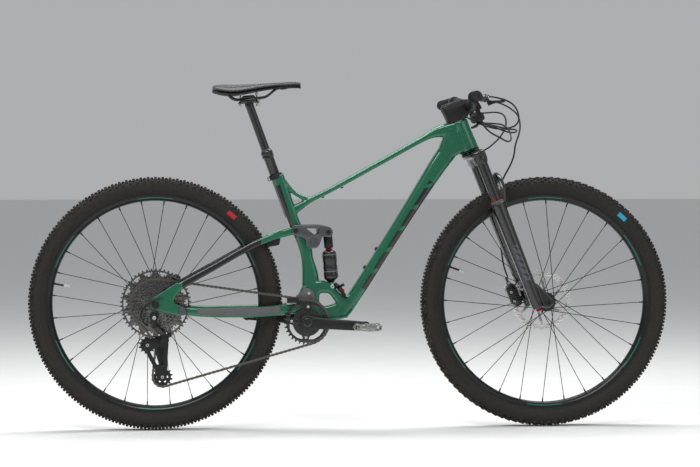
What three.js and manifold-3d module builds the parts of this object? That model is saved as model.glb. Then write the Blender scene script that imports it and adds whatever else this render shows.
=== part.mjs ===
// Full-suspension mountain bike. Millimetres, +X forward, +Z up, rider's right and the drivetrain at -Y.
// The origin is on the ground, midway between the wheel axles and in the wheels' middle plane.
import * as THREE from "three";
import { mergeVertices } from "three/addons/utils/BufferGeometryUtils.js";
import Module from "manifold-3d";

const wasm = await Module();
wasm.setup();

// Driving dimensions
const WHEELBASE = 1148;
const TYRE_RADIUS = 370;
const TYRE_WIDTH = 57;
const RIM_INNER = 300;
const RIM_OUTER = 319;
const RIM_WIDTH = 31;
const SPOKES = 28;
const HEAD_LEAN = THREE.MathUtils.degToRad(21.5);
const FORK_OFFSET = 44;
const BAR_WIDTH = 740;
const POST_LEAN = THREE.MathUtils.degToRad(20);
const CRANK_LENGTH = 170;
const CRANK_DROP = THREE.MathUtils.degToRad(4);
const RING_TEETH = 32;
const COG_TEETH = [50, 42, 36, 32, 28, 24, 21, 18, 16, 14, 12, 10];
const COG_IN_USE = 2;
const COG_PITCH = 3.55;
const LARGEST_COG_Y = -33.3;
const COG_HALF = 0.85;
const GUIDE_TEETH = 12;
const TENSION_TEETH = 14;
const CHAIN_PITCH = 12.7;
const GAP = 0.4;

// Axles and pivots in the side view, [x, z]
const HALF_BASE = WHEELBASE / 2;
const BOTTOM_BRACKET = [-135, 316];
const MAIN_PIVOT = [-140, 357];
const STAY_PIVOT = [-497, 352];
const STAY_EYE = [-167, 583];
const ROCKER_PIVOT = [-114, 548];
const SHOCK_TOP = [-71, 578];
const SHOCK_FOOT = [-58, 418];
const POST_FOOT = [-220, 730];
const GUIDE_CENTRE = [-598, 251];
const TENSION_CENTRE = [-555, 158];
const CAGE_PIVOT = [-549, 266];
const RING_Y = -52;
const cogY = (i) => LARGEST_COG_Y - i * COG_PITCH;
const COG_Y = cogY(COG_IN_USE);

// Finishes
const finish = (color, roughness, metalness) =>
  new THREE.MeshStandardMaterial({ color, roughness, metalness });
const EMERALD = finish(0x0a5a3a, 0.25, 0.3);
const GLOSS_BLACK = finish(0x101112, 0.25, 0.2);
const SATIN_BLACK = finish(0x1a1a1c, 0.5, 0.3);
const TYRE = finish(0x262523, 0.9, 0);
const GRIP = finish(0x151515, 0.85, 0);
const STEEL = finish(0x9a9a96, 0.35, 1);
const CHAIN_STEEL = finish(0x6d675d, 0.45, 1);
const GUNMETAL = finish(0x56585a, 0.4, 0.8);
const GREY_ALLOY = finish(0x3b3a3c, 0.45, 0.7);
const PADDING = finish(0x17171a, 0.7, 0);
const RED = finish(0xa01818, 0.4, 0.4);

// Solids and meshes

const at = (x, y, z) => new THREE.Vector3(x, y, z);

function solid(geometry) {
  const bare = geometry.index ? geometry.toNonIndexed() : geometry.clone();
  bare.deleteAttribute("normal");
  bare.deleteAttribute("uv");
  const merged = mergeVertices(bare, 1e-4);
  const vertProperties = merged.attributes.position.array;
  const triVerts = Uint32Array.from(merged.index.array);
  const build = () => new wasm.Manifold(new wasm.Mesh({ numProp: 3, vertProperties, triVerts }));
  const made = build();
  if (made.volume() > 0) return made;
  for (let i = 0; i < triVerts.length; i += 3) {
    [triVerts[i + 1], triVerts[i + 2]] = [triVerts[i + 2], triVerts[i + 1]];
  }
  return build();
}

const join = (...solids) => solids.reduce((all, next) => all.add(next));
const cut = (from, ...tools) => tools.reduce((left, tool) => left.subtract(tool), from);

function geometryOf(made) {
  const { vertProperties, triVerts } = made.getMesh();
  const geometry = new THREE.BufferGeometry();
  geometry.setAttribute("position", new THREE.BufferAttribute(vertProperties, 3));
  geometry.setIndex(new THREE.BufferAttribute(triVerts, 1));
  const flat = geometry.toNonIndexed();
  flat.computeVertexNormals();
  return flat;
}

function piece(parent, name, made, material) {
  const mesh = new THREE.Mesh(geometryOf(made), material);
  mesh.name = name;
  parent.add(mesh);
}

// A round bar from one point to another, which may taper.
function rod(from, to, radius, sides = 10, endRadius = radius) {
  const run = to.clone().sub(from);
  const geometry = new THREE.CylinderGeometry(endRadius, radius, run.length(), sides);
  geometry.applyQuaternion(new THREE.Quaternion().setFromUnitVectors(at(0, 1, 0), run.normalize()));
  geometry.translate(...from.clone().add(to).multiplyScalar(0.5).toArray());
  return solid(geometry);
}

// A bar across the bike, centred on [x, z].
const crossRod = ([x, z], yFrom, yTo, radius, sides = 12, endRadius = radius) =>
  rod(at(x, yFrom, z), at(x, yTo, z), radius, sides, endRadius);

function block(centre, sizeX, sizeY, sizeZ) {
  const geometry = new THREE.BoxGeometry(sizeX, sizeY, sizeZ);
  geometry.translate(...centre.toArray());
  return solid(geometry);
}

function anticlockwise(outline) {
  const points = outline.map(([x, z]) => new THREE.Vector2(x, z));
  return THREE.ShapeUtils.isClockWise(points) ? points.reverse() : points;
}

// A plate with an outline of [x, z] points, from one Y to another, with chamfered edges.
function plate(outline, yFrom, yTo, bevel = 0, hole = null) {
  const shape = new THREE.Shape(anticlockwise(outline));
  if (hole) shape.holes.push(new THREE.Path(anticlockwise(hole)));
  const geometry = new THREE.ExtrudeGeometry(shape, {
    depth: yTo - yFrom - 2 * bevel,
    bevelEnabled: bevel > 0,
    bevelThickness: bevel,
    bevelSize: bevel,
    bevelOffset: -bevel,
    bevelSegments: 1,
  });
  geometry.rotateX(Math.PI / 2);
  geometry.translate(0, yTo - bevel, 0);
  return solid(geometry);
}

// A turned shape about the Y axis, whose [radius, y] profile closes on itself.
function spun(profile, sides) {
  const points = [...profile, profile[0]].map(([radius, y]) => new THREE.Vector2(radius, y));
  return solid(new THREE.LatheGeometry(points, sides));
}

// A tube through stations [x, y, z, width across Y, depth in the side view], with rounded-square sections.
function loft(stations, sides = 8, roundness = 0.7) {
  const soft = (value) => Math.sign(value) * Math.abs(value) ** roundness;
  const positions = [];
  stations.forEach(([x, y, z, width, depth], i) => {
    const before = stations[Math.max(i - 1, 0)];
    const after = stations[Math.min(i + 1, stations.length - 1)];
    const run = Math.hypot(after[0] - before[0], after[2] - before[2]);
    const sideways = at((before[2] - after[2]) / run, 0, (after[0] - before[0]) / run);
    for (let s = 0; s < sides; s++) {
      const angle = (2 * Math.PI * (s + 0.5)) / sides;
      const across = (soft(Math.cos(angle)) * width) / 2;
      const up = (soft(Math.sin(angle)) * depth) / 2;
      positions.push(x + sideways.x * up, y + across, z + sideways.z * up);
    }
  });
  const index = [];
  for (let i = 0; i < stations.length - 1; i++) {
    for (let s = 0; s < sides; s++) {
      const a = i * sides + s;
      const b = i * sides + ((s + 1) % sides);
      index.push(a, b, a + sides, b, b + sides, a + sides);
    }
  }
  const last = (stations.length - 1) * sides;
  for (let s = 1; s < sides - 1; s++) {
    index.push(0, s + 1, s, last, last + s, last + s + 1);
  }
  const geometry = new THREE.BufferGeometry();
  geometry.setAttribute("position", new THREE.Float32BufferAttribute(positions, 3));
  geometry.setIndex(index);
  return solid(geometry);
}

// A cable through points given in bike coordinates.
function cable(points, radius, steps = 30, sides = 6) {
  const section = new THREE.Shape();
  for (let s = 0; s < sides; s++) {
    const angle = (2 * Math.PI * s) / sides;
    section[s ? "lineTo" : "moveTo"](radius * Math.cos(angle), radius * Math.sin(angle));
  }
  const extrudePath = new THREE.CatmullRomCurve3(points.map(([x, y, z]) => at(x, y, z)), false, "centripetal");
  return solid(new THREE.ExtrudeGeometry(section, { steps, bevelEnabled: false, extrudePath }));
}

// The same solid on the other side of the bike.
const mirrored = (made) => made.mirror([0, 1, 0]);
const bothSides = (made) => join(made, mirrored(made));

const pitchRadius = (teeth) => CHAIN_PITCH / (2 * Math.sin(Math.PI / teeth));
const between = (a, b, t) => a.map((value, i) => value + (b[i] - value) * t);

const bike = new THREE.Group();

// Frame

function makeFrontTriangle() {
  const downTube = loft([
    [-22, 0, 345, 54, 40],
    [20, 0, 405, 54, 40],
    [100, 0, 531, 54, 41],
    [190, 0, 672, 54, 46],
    [250, 0, 765, 52, 52],
    [302, 0, 838, 46, 56],
  ]);
  const topTube = loft([
    [-188, 0, 630, 34, 30],
    [-160, 0, 648, 34, 26],
    [-130, 0, 666, 35, 18],
    [-104, 0, 680, 36, 17],
    [-48, 0, 708.5, 36, 17],
    [90, 0, 784.5, 36, 18],
    [205, 0, 848, 38, 19],
    [258, 0, 872, 42, 34],
    [304, 0, 880, 46, 46],
  ]);
  const seatTube = loft([
    [-213, 0, 731, 40, 38],
    [-187, 0, 655, 40, 36],
    [-166, 0, 598, 38, 34],
    [-140, 0, 545, 38, 42],
    [-131, 0, 500, 40, 36],
    [-122, 0, 450, 46, 48],
    [-122, 0, 400, 50, 52],
    [-130, 0, 345, 52, 54],
  ]);
  const brace = loft([
    [-196, 0, 722, 32, 16],
    [-166, 0, 689, 30, 13],
    [-130, 0, 670, 32, 18],
  ]);
  const outline = [
    [-146, 420], [-94, 437], [-59, 427], [-40, 402], [-15, 388], [12, 418], [34, 392], [5, 349],
    [-3, 337], [-20, 322], [-64, 318], [-100, 298], [-135, 291], [-160, 316], [-160, 345], [-162, 384],
  ];
  const window = [[-94, 398], [-68, 397], [-46, 368], [-88, 357], [-97, 375]];
  const foot = plate(outline, -25, 25, 6, window);
  const gussetOutline = [[262, 774], [296, 801], [322, 812], [342, 824], [330, 862], [286, 868], [262, 812]];
  const gusset = plate(gussetOutline, -21, 21, 6);
  const headTube = rod(steeringPoint(0, 0, 498), steeringPoint(0, 0, 590), 29, 16, 27);
  const steererBore = rod(steeringPoint(0, 0, 480), steeringPoint(0, 0, 610), 18.2, 16);
  const shell = crossRod(BOTTOM_BRACKET, -42, 42, 25, 16);
  const shellBore = crossRod(BOTTOM_BRACKET, -60, 60, 21, 16);
  const rockerBoss = crossRod(ROCKER_PIVOT, -31, 31, 18);
  const pivotBoss = crossRod(MAIN_PIVOT, -31, 31, 14);
  const shockLugs = crossRod(SHOCK_FOOT, -21, 21, 12);
  const shockSlot = crossRod(SHOCK_FOOT, -11, 11, 17);
  const boltRoom = bothSides(crossRod(SHOCK_FOOT, 21, 30, 13));
  const shockRoom = block(at(SHOCK_FOOT[0], 0, SHOCK_FOOT[1] + 22), 60, 22, 44);
  const aboveHeadTube = rod(steeringPoint(0, 0, 590.2), steeringPoint(0, 0, 640), 60, 12);
  const postBore = rod(postPoint(-140), postPoint(30), 15.6, 12);
  const bores = [
    crossRod(ROCKER_PIVOT, -60, 60, 6.4),
    crossRod(MAIN_PIVOT, -60, 60, 7.4),
    crossRod(SHOCK_FOOT, -60, 60, 5.4),
  ];
  const bottleBosses = BOTTLE_BOSSES.map((along) =>
    rod(downTubePoint(along, 15), downTubePoint(along, 22.5), 7, 12));
  const tubes = join(downTube, topTube, seatTube, brace, foot, gusset, headTube, shell);
  const bosses = join(rockerBoss, pivotBoss, shockLugs, ...bottleBosses);
  const rooms = [steererBore, shellBore, shockSlot, shockRoom, boltRoom, aboveHeadTube, postBore];
  return cut(join(tubes, bosses), ...rooms, ...bores);
}

// A point at a distance along the down tube's straight part and at a height over its centre line.
const DOWN_TUBE_FOOT = at(20, 0, 405);
const DOWN_TUBE_RUN = at(80, 0, 126).normalize();
const BOTTLE_BOSSES = [68, 132];

function downTubePoint(along, over) {
  const upward = at(-DOWN_TUBE_RUN.z, 0, DOWN_TUBE_RUN.x);
  return DOWN_TUBE_FOOT.clone().addScaledVector(DOWN_TUBE_RUN, along).addScaledVector(upward, over);
}

// A point on the seatpost's axis, counted up from the seat clamp.
function postPoint(along) {
  return at(POST_FOOT[0] - along * Math.sin(POST_LEAN), 0, POST_FOOT[1] + along * Math.cos(POST_LEAN));
}

// A point given in the steering frame: x ahead of the steering axis, z along it from the front axle's height.
function steeringPoint(x, y, z) {
  return at(x, y, z).applyAxisAngle(at(0, 1, 0), -HEAD_LEAN).add(STEERING_ORIGIN);
}

const STEERING_ORIGIN = at(
  HALF_BASE - FORK_OFFSET * Math.cos(HEAD_LEAN),
  0,
  TYRE_RADIUS - FORK_OFFSET * Math.sin(HEAD_LEAN),
);

// A through bolt with a head on each side.
function headedAxle(centre, halfWidth, radius, headRadius) {
  const head = crossRod(centre, halfWidth, halfWidth + 3, headRadius);
  return join(crossRod(centre, -halfWidth - 1, halfWidth + 1, radius), bothSides(head));
}

piece(bike, "front_triangle", makeFrontTriangle(), EMERALD);
piece(bike, "rocker_axle", headedAxle(ROCKER_PIVOT, 40.4, 6, 11), STEEL);
piece(bike, "main_pivot_axle", headedAxle(MAIN_PIVOT, 44.4, 7, 11), STEEL);
piece(bike, "shock_foot_bolt", headedAxle(SHOCK_FOOT, 21.4, 5, 8), STEEL);

const bracketCup = crossRod(BOTTOM_BRACKET, 42 + GAP, 46.5, 24, 12);
const bracketSleeve = crossRod(BOTTOM_BRACKET, -43, 43, 20, 12);
const spindleBore = crossRod(BOTTOM_BRACKET, -60, 60, 15.6, 12);
piece(bike, "bottom_bracket", cut(join(bracketSleeve, bothSides(bracketCup)), spindleBore), SATIN_BLACK);

// Dropper seatpost and saddle

const POST_OUTER_LENGTH = 88;
const POST_TOP = 242;
const outerTube = rod(postPoint(-112), postPoint(POST_OUTER_LENGTH), 15, 12);
const outerCollar = rod(postPoint(POST_OUTER_LENGTH - 16), postPoint(POST_OUTER_LENGTH + 4), 18, 12);
const seatClamp = rod(postPoint(2.5), postPoint(18), 21, 12);
const slidingBore = rod(postPoint(-130), postPoint(POST_OUTER_LENGTH + 20), 13.1, 12);
piece(bike, "dropper_outer", cut(join(outerTube, outerCollar, seatClamp), slidingBore), SATIN_BLACK);

const SADDLE_CLAMP = [-303, 968];
const postHead = join(
  crossRod(SADDLE_CLAMP, -16, 16, 11),
  block(at(SADDLE_CLAMP[0], 0, SADDLE_CLAMP[1] - 8), 44, 34, 8),
);
const RAIL_Y = 22;
const railClamp = bothSides(block(at(SADDLE_CLAMP[0], RAIL_Y, SADDLE_CLAMP[1] - 3), 40, 16, 20));
const railRoom = bothSides(rod(at(-335, RAIL_Y, 964.3), at(-266, RAIL_Y, 970.2), 4.9, 8));
const stanchionPost = rod(postPoint(20), postPoint(POST_TOP), 12.5, 12);
piece(bike, "dropper_stanchion", cut(join(stanchionPost, postHead, railClamp), railRoom), GLOSS_BLACK);

const railHalf = [
  at(-366, 29, 985), at(-352, 25, 970), at(-335, RAIL_Y, 964.3), at(-303, RAIL_Y, 967),
  at(-268, RAIL_Y, 970), at(-246, 17, 976), at(-226, 7, 992),
];
const railPoints = [...railHalf, ...railHalf.slice().reverse().map(({ x, y, z }) => at(x, -y, z))];
piece(bike, "saddle_rails", cable(railPoints.map((point) => point.toArray()), 3.5, 28), SATIN_BLACK);

// Saddle section stations from tail to nose: [x, half width, height of the top, depth of the edge]
const SADDLE_STATIONS = [
  [-408, 30, 1004, 6],
  [-398, 54, 1008, 12],
  [-375, 68, 1010, 19],
  [-345, 68, 1009.5, 20],
  [-310, 56, 1010.5, 16],
  [-270, 37, 1012.5, 10],
  [-228, 24, 1015, 6],
  [-190, 20, 1017, 6],
  [-162, 17, 1018, 6],
  [-150, 11, 1015, 5],
];

// A saddle layer between two depths under the top: its section sits across Y with rounded edges.
function saddleLayer(topDrop, thickness, inset) {
  const sides = 10;
  const positions = [];
  for (const [x, half, top, edge] of SADDLE_STATIONS) {
    for (let s = 0; s < sides; s++) {
      const across = s < sides / 2 ? 1 - (4 * s) / (sides - 2) : -1 + (4 * (s - sides / 2)) / (sides - 2);
      const lower = s < sides / 2 ? 0 : thickness;
      const droop = edge * Math.abs(across) ** 2.4;
      positions.push(x, across * (half - inset), top - topDrop - droop - lower);
    }
  }
  const index = [];
  const rows = SADDLE_STATIONS.length;
  for (let i = 0; i < rows - 1; i++) {
    for (let s = 0; s < sides; s++) {
      const a = i * sides + s;
      const b = i * sides + ((s + 1) % sides);
      index.push(a, b, a + sides, b, b + sides, a + sides);
    }
  }
  for (const [base, flip] of [[0, false], [(rows - 1) * sides, true]]) {
    for (let s = 0; s < sides / 2 - 1; s++) {
      const [a, b, c, d] = [s, s + 1, sides - 2 - s, sides - 1 - s].map((k) => base + k);
      if (flip) index.push(a, b, c, a, c, d);
      else index.push(a, c, b, a, d, c);
    }
  }
  const geometry = new THREE.BufferGeometry();
  geometry.setAttribute("position", new THREE.Float32BufferAttribute(positions, 3));
  geometry.setIndex(index);
  return solid(geometry);
}

const CUSHION_THICKNESS = 9;
const SHELL_THICKNESS = 3.5;
piece(bike, "saddle_cushion", saddleLayer(0, CUSHION_THICKNESS, 0), PADDING);
const shellLayer = saddleLayer(CUSHION_THICKNESS + 1.2, SHELL_THICKNESS, 3);
const railSocketTail = bothSides(rod(at(-374, 31, 990.5), at(-369, 30, 987.5), 6, 8));
piece(bike, "saddle_shell", join(shellLayer, railSocketTail), SATIN_BLACK);

// Fork and cockpit, in the steering frame

const steering = new THREE.Group();
steering.position.copy(STEERING_ORIGIN);
steering.rotation.y = -HEAD_LEAN;
bike.add(steering);

const LEG_X = 11;
const LEG_Y = 68;
const CROWN_BOTTOM = 462;
const SEAL = 328;
const AXLE_X = FORK_OFFSET;
const FORK_TRAVEL = 100;

// Turns a plate made in the side view so that its outline lies in X and Y, from one height to another.
function flatPlate(outline, zFrom, zTo, bevel) {
  const shape = new THREE.Shape(outline.map(([x, y]) => new THREE.Vector2(x, y)));
  const geometry = new THREE.ExtrudeGeometry(shape, {
    depth: zTo - zFrom - 2 * bevel,
    bevelEnabled: true,
    bevelThickness: bevel,
    bevelSize: bevel,
    bevelOffset: -bevel,
    bevelSegments: 1,
  });
  geometry.translate(0, 0, zFrom + bevel);
  return solid(geometry);
}

const crownHalf = [[-24, 0], [-22, 30], [-10, 70], [-8, 86], [6, 91], [28, 86], [32, 70], [34, 30]];
const crownOutline = [...crownHalf, ...crownHalf.slice(1).reverse().map(([x, y]) => [x, -y]), [34, 0]];
const crownPlate = flatPlate(crownOutline.slice(0, -1), CROWN_BOTTOM, 486, 4);
const crownBoss = rod(at(0, 0, 480), at(0, 0, 497.6), 27.5, 16);
const steerer = rod(at(0, 0, 490), at(0, 0, 640), 17.5, 16);
const stanchions = bothSides(rod(at(LEG_X, LEG_Y, 178), at(LEG_X, LEG_Y, 470), 16, 14));
const tyreRoom = rod(at(AXLE_X, -36, FORK_TRAVEL), at(AXLE_X, 36, FORK_TRAVEL), TYRE_RADIUS + 6, 48);
piece(steering, "fork_crown", cut(join(crownPlate, crownBoss, steerer, stanchions), tyreRoom), GLOSS_BLACK);

const BAR_CLAMP = [47.4, 620];
const stemOutline = [
  [-31, 591], [27, 591], [34, 600], [50, 600], [56, 640], [26, 650], [-10, 650], [-36, 646], [-33, 615],
];
const stemBody = join(plate(stemOutline, -24, 24, 5), crossRod(BAR_CLAMP, -24, 24, 21, 16));
const stemBores = [crossRod(BAR_CLAMP, -40, 40, 16.6, 16), rod(at(0, 0, 580), at(0, 0, 641), 18.2, 16)];
piece(steering, "stem", cut(stemBody, ...stemBores), SATIN_BLACK);

// Handlebar points on the left half, from the clamp to the grip end
const BAR_BEND = at(42, 160, 643);
const BAR_END = at(21, BAR_WIDTH / 2, 646);

// A point on the straight outer part of the handlebar at distance y from the middle.
const barPoint = (y) => BAR_BEND.clone().lerp(BAR_END, (y - BAR_BEND.y) / (BAR_END.y - BAR_BEND.y));

const barHalf = [
  at(47.4, 40, 620), at(47.4, 66, 621), at(46, 112, 636), BAR_BEND, barPoint(185), barPoint(215), BAR_END,
];
const barPoints = [...barHalf.slice().reverse(), ...barHalf.map(({ x, y, z }) => at(x, -y, z))];
const barTube = cable(barPoints.map((point) => point.toArray()), 11.1, 26, 8);
const barBulge = join(
  crossRod(BAR_CLAMP, -36, 36, 15.9, 16),
  bothSides(crossRod(BAR_CLAMP, 36, 60, 15.9, 16, 11.1)),
);
piece(steering, "handlebar", join(barTube, barBulge), SATIN_BLACK);

const barSleeve = (yFrom, yTo, radius) =>
  cut(rod(barPoint(yFrom), barPoint(yTo), radius, 12), rod(barPoint(yFrom - 5), barPoint(yTo + 5), 12, 12));
const grip = barSleeve(240, BAR_WIDTH / 2 - 0.5, 15.5);

const masterCylinder = rod(at(63, 212, 631), at(71, 128, 634), 9, 10);
const masterArm = rod(at(44, 203, 642), at(63, 203, 631), 8, 6);
const leverTab = block(at(70, 208, 622.5), 20, 18, 7);
const barRoom = rod(barPoint(190), barPoint(230), 11.9, 12);
const brakeMaster = join(cut(join(masterCylinder, masterArm, leverTab), barRoom), barSleeve(197, 209, 17));
const leverPivot = rod(at(74, 208, 606), at(74, 208, 618.6), 7, 10);
const leverBlade = cable([[74, 208, 612], [83, 236, 610], [86, 296, 607], [91, 338, 607]], 4.8, 8);
const brakeLever = join(leverPivot, leverBlade);

for (const [side, place] of [["left", (made) => made], ["right", mirrored]]) {
  piece(steering, "grip_" + side, place(grip), GRIP);
  piece(steering, "brake_master_" + side, place(brakeMaster), GLOSS_BLACK);
  piece(steering, "brake_lever_" + side, place(brakeLever), SATIN_BLACK);
}

const shifterOutline = [[11, 150], [49, 156], [51, 184], [35, 198], [13, 194]];
const shifterArm = join(barSleeve(182, 193, 15.5), rod(at(41, 187, 628), at(32, 182, 590), 6, 8));
const shifterCase = join(shifterArm, flatPlate(shifterOutline, 572, 596, 3));
const shifterPaddle = join(
  rod(at(33, 172, 565.5), at(33, 172, 571.6), 9, 12),
  rod(at(33, 172, 568), at(10, 210, 565), 3, 6),
  rod(at(9, 212, 561), at(9, 212, 568), 9, 12),
);
const thumbArm = join(barSleeve(182, 193, 15.5), rod(at(42, 187, 628), at(46, 180, 606), 6, 8));
const remoteCase = join(thumbArm, flatPlate([[34, 160], [60, 162], [60, 186], [38, 192]], 594, 611, 3));
const remoteLever = join(
  rod(at(48, 174, 587), at(48, 174, 593.6), 8, 12),
  rod(at(48, 174, 590), at(26, 214, 588), 4, 6),
);
piece(steering, "shifter_case", mirrored(shifterCase), SATIN_BLACK);
piece(steering, "shifter_paddle", mirrored(shifterPaddle), SATIN_BLACK);
piece(steering, "remote_case", remoteCase, SATIN_BLACK);
piece(steering, "remote_lever", remoteLever, SATIN_BLACK);

const leg = rod(at(LEG_X, LEG_Y, -3), at(LEG_X, LEG_Y, SEAL), 18.5, 14, 21);
const dropoutOutline = [[5, 2], [20, -2], [31, -13], [44, -15], [57, -9], [60, 3], [55, 14], [34, 62], [8, 80]];
const lug = plate(dropoutOutline, 56, 74, 3);
const archHalf = [at(LEG_X + 6, LEG_Y, 300), at(36, 63, 336), at(46, 46, 376), at(46, 18, 400)];
const archPoints = [...archHalf, ...archHalf.slice().reverse().map(({ x, y, z }) => at(x, -y, z))];
const arch = cable(archPoints.map((point) => point.toArray()), 9, 16, 8);
const legBore = rod(at(LEG_X, LEG_Y, 70), at(LEG_X, LEG_Y, SEAL + 20), 16.8, 14);
const axleRoom = crossRod([AXLE_X, 0], -90, 90, 7.9);
const lowers = join(bothSides(join(leg, lug)), arch);
piece(steering, "fork_lowers", cut(lowers, bothSides(legBore), axleRoom), GLOSS_BLACK);

const axleHead = crossRod([AXLE_X, 0], -79, -74.4, 10);
piece(steering, "front_axle", join(crossRod([AXLE_X, 0], -76, 73, 7.4), axleHead), SATIN_BLACK);

const FRONT_ROTOR_RADIUS = 90;
const FRONT_ROTOR_Y = 41;
const caliperBody = plate([[-44, 24], [-26, 8], [-11, 14], [-11, 70], [-24, 84], [-44, 70]], 28, 56, 4);
const rotorRoom = crossRod([AXLE_X, 0], FRONT_ROTOR_Y - 2.6, FRONT_ROTOR_Y + 2.6, FRONT_ROTOR_RADIUS + 4, 40);
piece(steering, "front_caliper", cut(caliperBody, rotorRoom), GLOSS_BLACK);
piece(steering, "rebound_knob", rod(at(LEG_X, -LEG_Y, -13), at(LEG_X, -LEG_Y, -3.4), 8, 12), RED);

// Wheels: everything is turned about the axle, in a group at the axle

const TYRE_BEAD = RIM_OUTER + 0.6;
const tyreHalf = [[TYRE_BEAD, 15], [342, TYRE_WIDTH / 2], [360, 24], [TYRE_RADIUS, 8]];
const tyreInside = [[362, -8], [342, -25], [TYRE_BEAD, -11.5]];
const tyreProfile = [
  ...tyreHalf,
  ...tyreHalf.slice().reverse().map(([radius, y]) => [radius, -y]),
  ...tyreInside.slice().reverse(),
  ...tyreInside.map(([radius, y]) => [radius, -y]),
];
const rimProfile = [
  [RIM_INNER, 5], [308, RIM_WIDTH / 2], [RIM_OUTER, RIM_WIDTH / 2],
  [RIM_OUTER, -RIM_WIDTH / 2], [308, -RIM_WIDTH / 2], [RIM_INNER, -5],
];
const WHEEL_SIDES = 32;

// Crossed spokes: each leaves a flange at an angle to the radius and meets the rim near the middle plane.
function spokes(flangeRight, flangeLeft) {
  const all = [];
  for (let i = 0; i < SPOKES; i++) {
    const angle = ((i + 0.5) * 2 * Math.PI) / SPOKES;
    const side = i % 2 ? flangeRight : flangeLeft;
    const crossing = (i % 4 < 2 ? 1 : -1) * 1.15;
    const hubAngle = angle + crossing;
    const foot = at(25 * Math.cos(hubAngle), side + Math.sign(crossing) * 1.6, 25 * Math.sin(hubAngle));
    const tip = at(298 * Math.cos(angle), side * 0.1 + Math.sign(crossing) * 0.8, 298 * Math.sin(angle));
    all.push(rod(foot, tip, 1.3, 3));
  }
  return join(...all);
}

// A brake rotor with cut-out windows between its hub ring and its braking ring.
function rotorDisc(radius, y) {
  const shape = new THREE.Shape().absarc(0, 0, radius, 0, 2 * Math.PI);
  shape.holes.push(new THREE.Path().absarc(0, 0, 19.5, 0, 2 * Math.PI));
  const windows = 5;
  for (let i = 0; i < windows; i++) {
    const from = (i * 2 * Math.PI) / windows + 0.14;
    const to = ((i + 1) * 2 * Math.PI) / windows - 0.14;
    const twist = 0.35;
    const hole = new THREE.Path();
    hole.absarc(0, 0, radius - 14, from, to, false);
    hole.absarc(0, 0, 30, to - twist - 0.1, from - twist + 0.1, true);
    hole.closePath();
    shape.holes.push(hole);
  }
  const disc = new THREE.ExtrudeGeometry(shape, { depth: 1.8, bevelEnabled: false, curveSegments: 4 });
  disc.rotateX(Math.PI / 2);
  disc.translate(0, y + 0.9, 0);
  return solid(disc);
}

function makeWheel(prefix, x, hubProfile, flanges, rotorRadius, rotorY) {
  const wheel = new THREE.Group();
  wheel.position.set(x, 0, TYRE_RADIUS);
  bike.add(wheel);
  piece(wheel, prefix + "_tyre", spun(tyreProfile, WHEEL_SIDES), TYRE);
  piece(wheel, prefix + "_rim", spun(rimProfile, WHEEL_SIDES), GLOSS_BLACK);
  piece(wheel, prefix + "_hub", join(spun(hubProfile, 12), spokes(...flanges)), SATIN_BLACK);
  piece(wheel, prefix + "_rotor", rotorDisc(rotorRadius, rotorY), STEEL);
  return wheel;
}

const FRONT_HUB = [
  [8, -55], [11, -55], [11, -43], [28, -41], [28, -37], [15, -33], [15, 21], [28, 24], [28, 28],
  [20, 31], [20, 39.6], [17.4, 39.6], [17.4, 44], [11, 45], [11, 55], [8, 55],
];
makeWheel("front", HALF_BASE, FRONT_HUB, [-39, 26], FRONT_ROTOR_RADIUS, FRONT_ROTOR_Y);

const REAR_HUB = [
  [8, -73.5], [10, -73.5], [10, -71], [17, -71], [17, -31], [28, -28], [28, -23], [15, -19], [15, 32],
  [26, 35], [26, 39], [20, 42], [20, 58], [17.4, 58], [17.4, 63], [11, 64], [11, 73.5], [8, 73.5],
];
const REAR_ROTOR_RADIUS = 80;
const REAR_ROTOR_Y = 59.5;
makeWheel("rear", -HALF_BASE, REAR_HUB, [-25.5, 37], REAR_ROTOR_RADIUS, REAR_ROTOR_Y);

// Cassette: one step for each cog, and the cog in use is left low for the chain
const CHAIN_HALF_HEIGHT = 4;
const CHAIN_ROOM = CHAIN_HALF_HEIGHT + 1.4;
const cogTop = (teeth, i) => pitchRadius(teeth) + (i === COG_IN_USE ? -CHAIN_ROOM : 2.6);
const CASSETTE_BACK = LARGEST_COG_Y + 2 * COG_HALF;
const cassetteProfile = [[17.8, CASSETTE_BACK]];
COG_TEETH.forEach((teeth, i) => {
  const inner = i ? cogY(i - 1) - COG_HALF : CASSETTE_BACK;
  cassetteProfile.push([cogTop(teeth, i), inner], [cogTop(teeth, i), cogY(i) - COG_HALF]);
});
cassetteProfile.push([17.8, cassetteProfile.at(-1)[1]]);
const rearAxleGroup = new THREE.Group();
rearAxleGroup.position.set(-HALF_BASE, 0, TYRE_RADIUS);
bike.add(rearAxleGroup);
piece(rearAxleGroup, "cassette", spun(cassetteProfile, 16), CHAIN_STEEL);
const rearAxle = join(crossRod([0, 0], -86, 84, 7.4), crossRod([0, 0], 82.4, 86, 10));
piece(rearAxleGroup, "rear_axle", rearAxle, SATIN_BLACK);

// Rear suspension

const chainstayArm = loft([
  [-140, 38, 357, 12, 28],
  [-196, 38.5, 352, 13, 30],
  [-262, 49, 347, 16, 30],
  [-400, 63, 345, 17, 27],
  [-497, 68.5, 352, 9.6, 22],
]);
const mainEye = crossRod(MAIN_PIVOT, 32, 44, 14);
const stayEye = crossRod(STAY_PIVOT, 63.7, 73.3, 13);
const chainstaySide = join(chainstayArm, mainEye, stayEye);
const yoke = block(at(-186, 0, 357), 15, 74, 26);
const chainstayBores = [crossRod(MAIN_PIVOT, -60, 60, 7.4), crossRod(STAY_PIVOT, -90, 90, 6.4)];
piece(bike, "chainstay", cut(join(bothSides(chainstaySide), yoke), ...chainstayBores), EMERALD);

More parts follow.
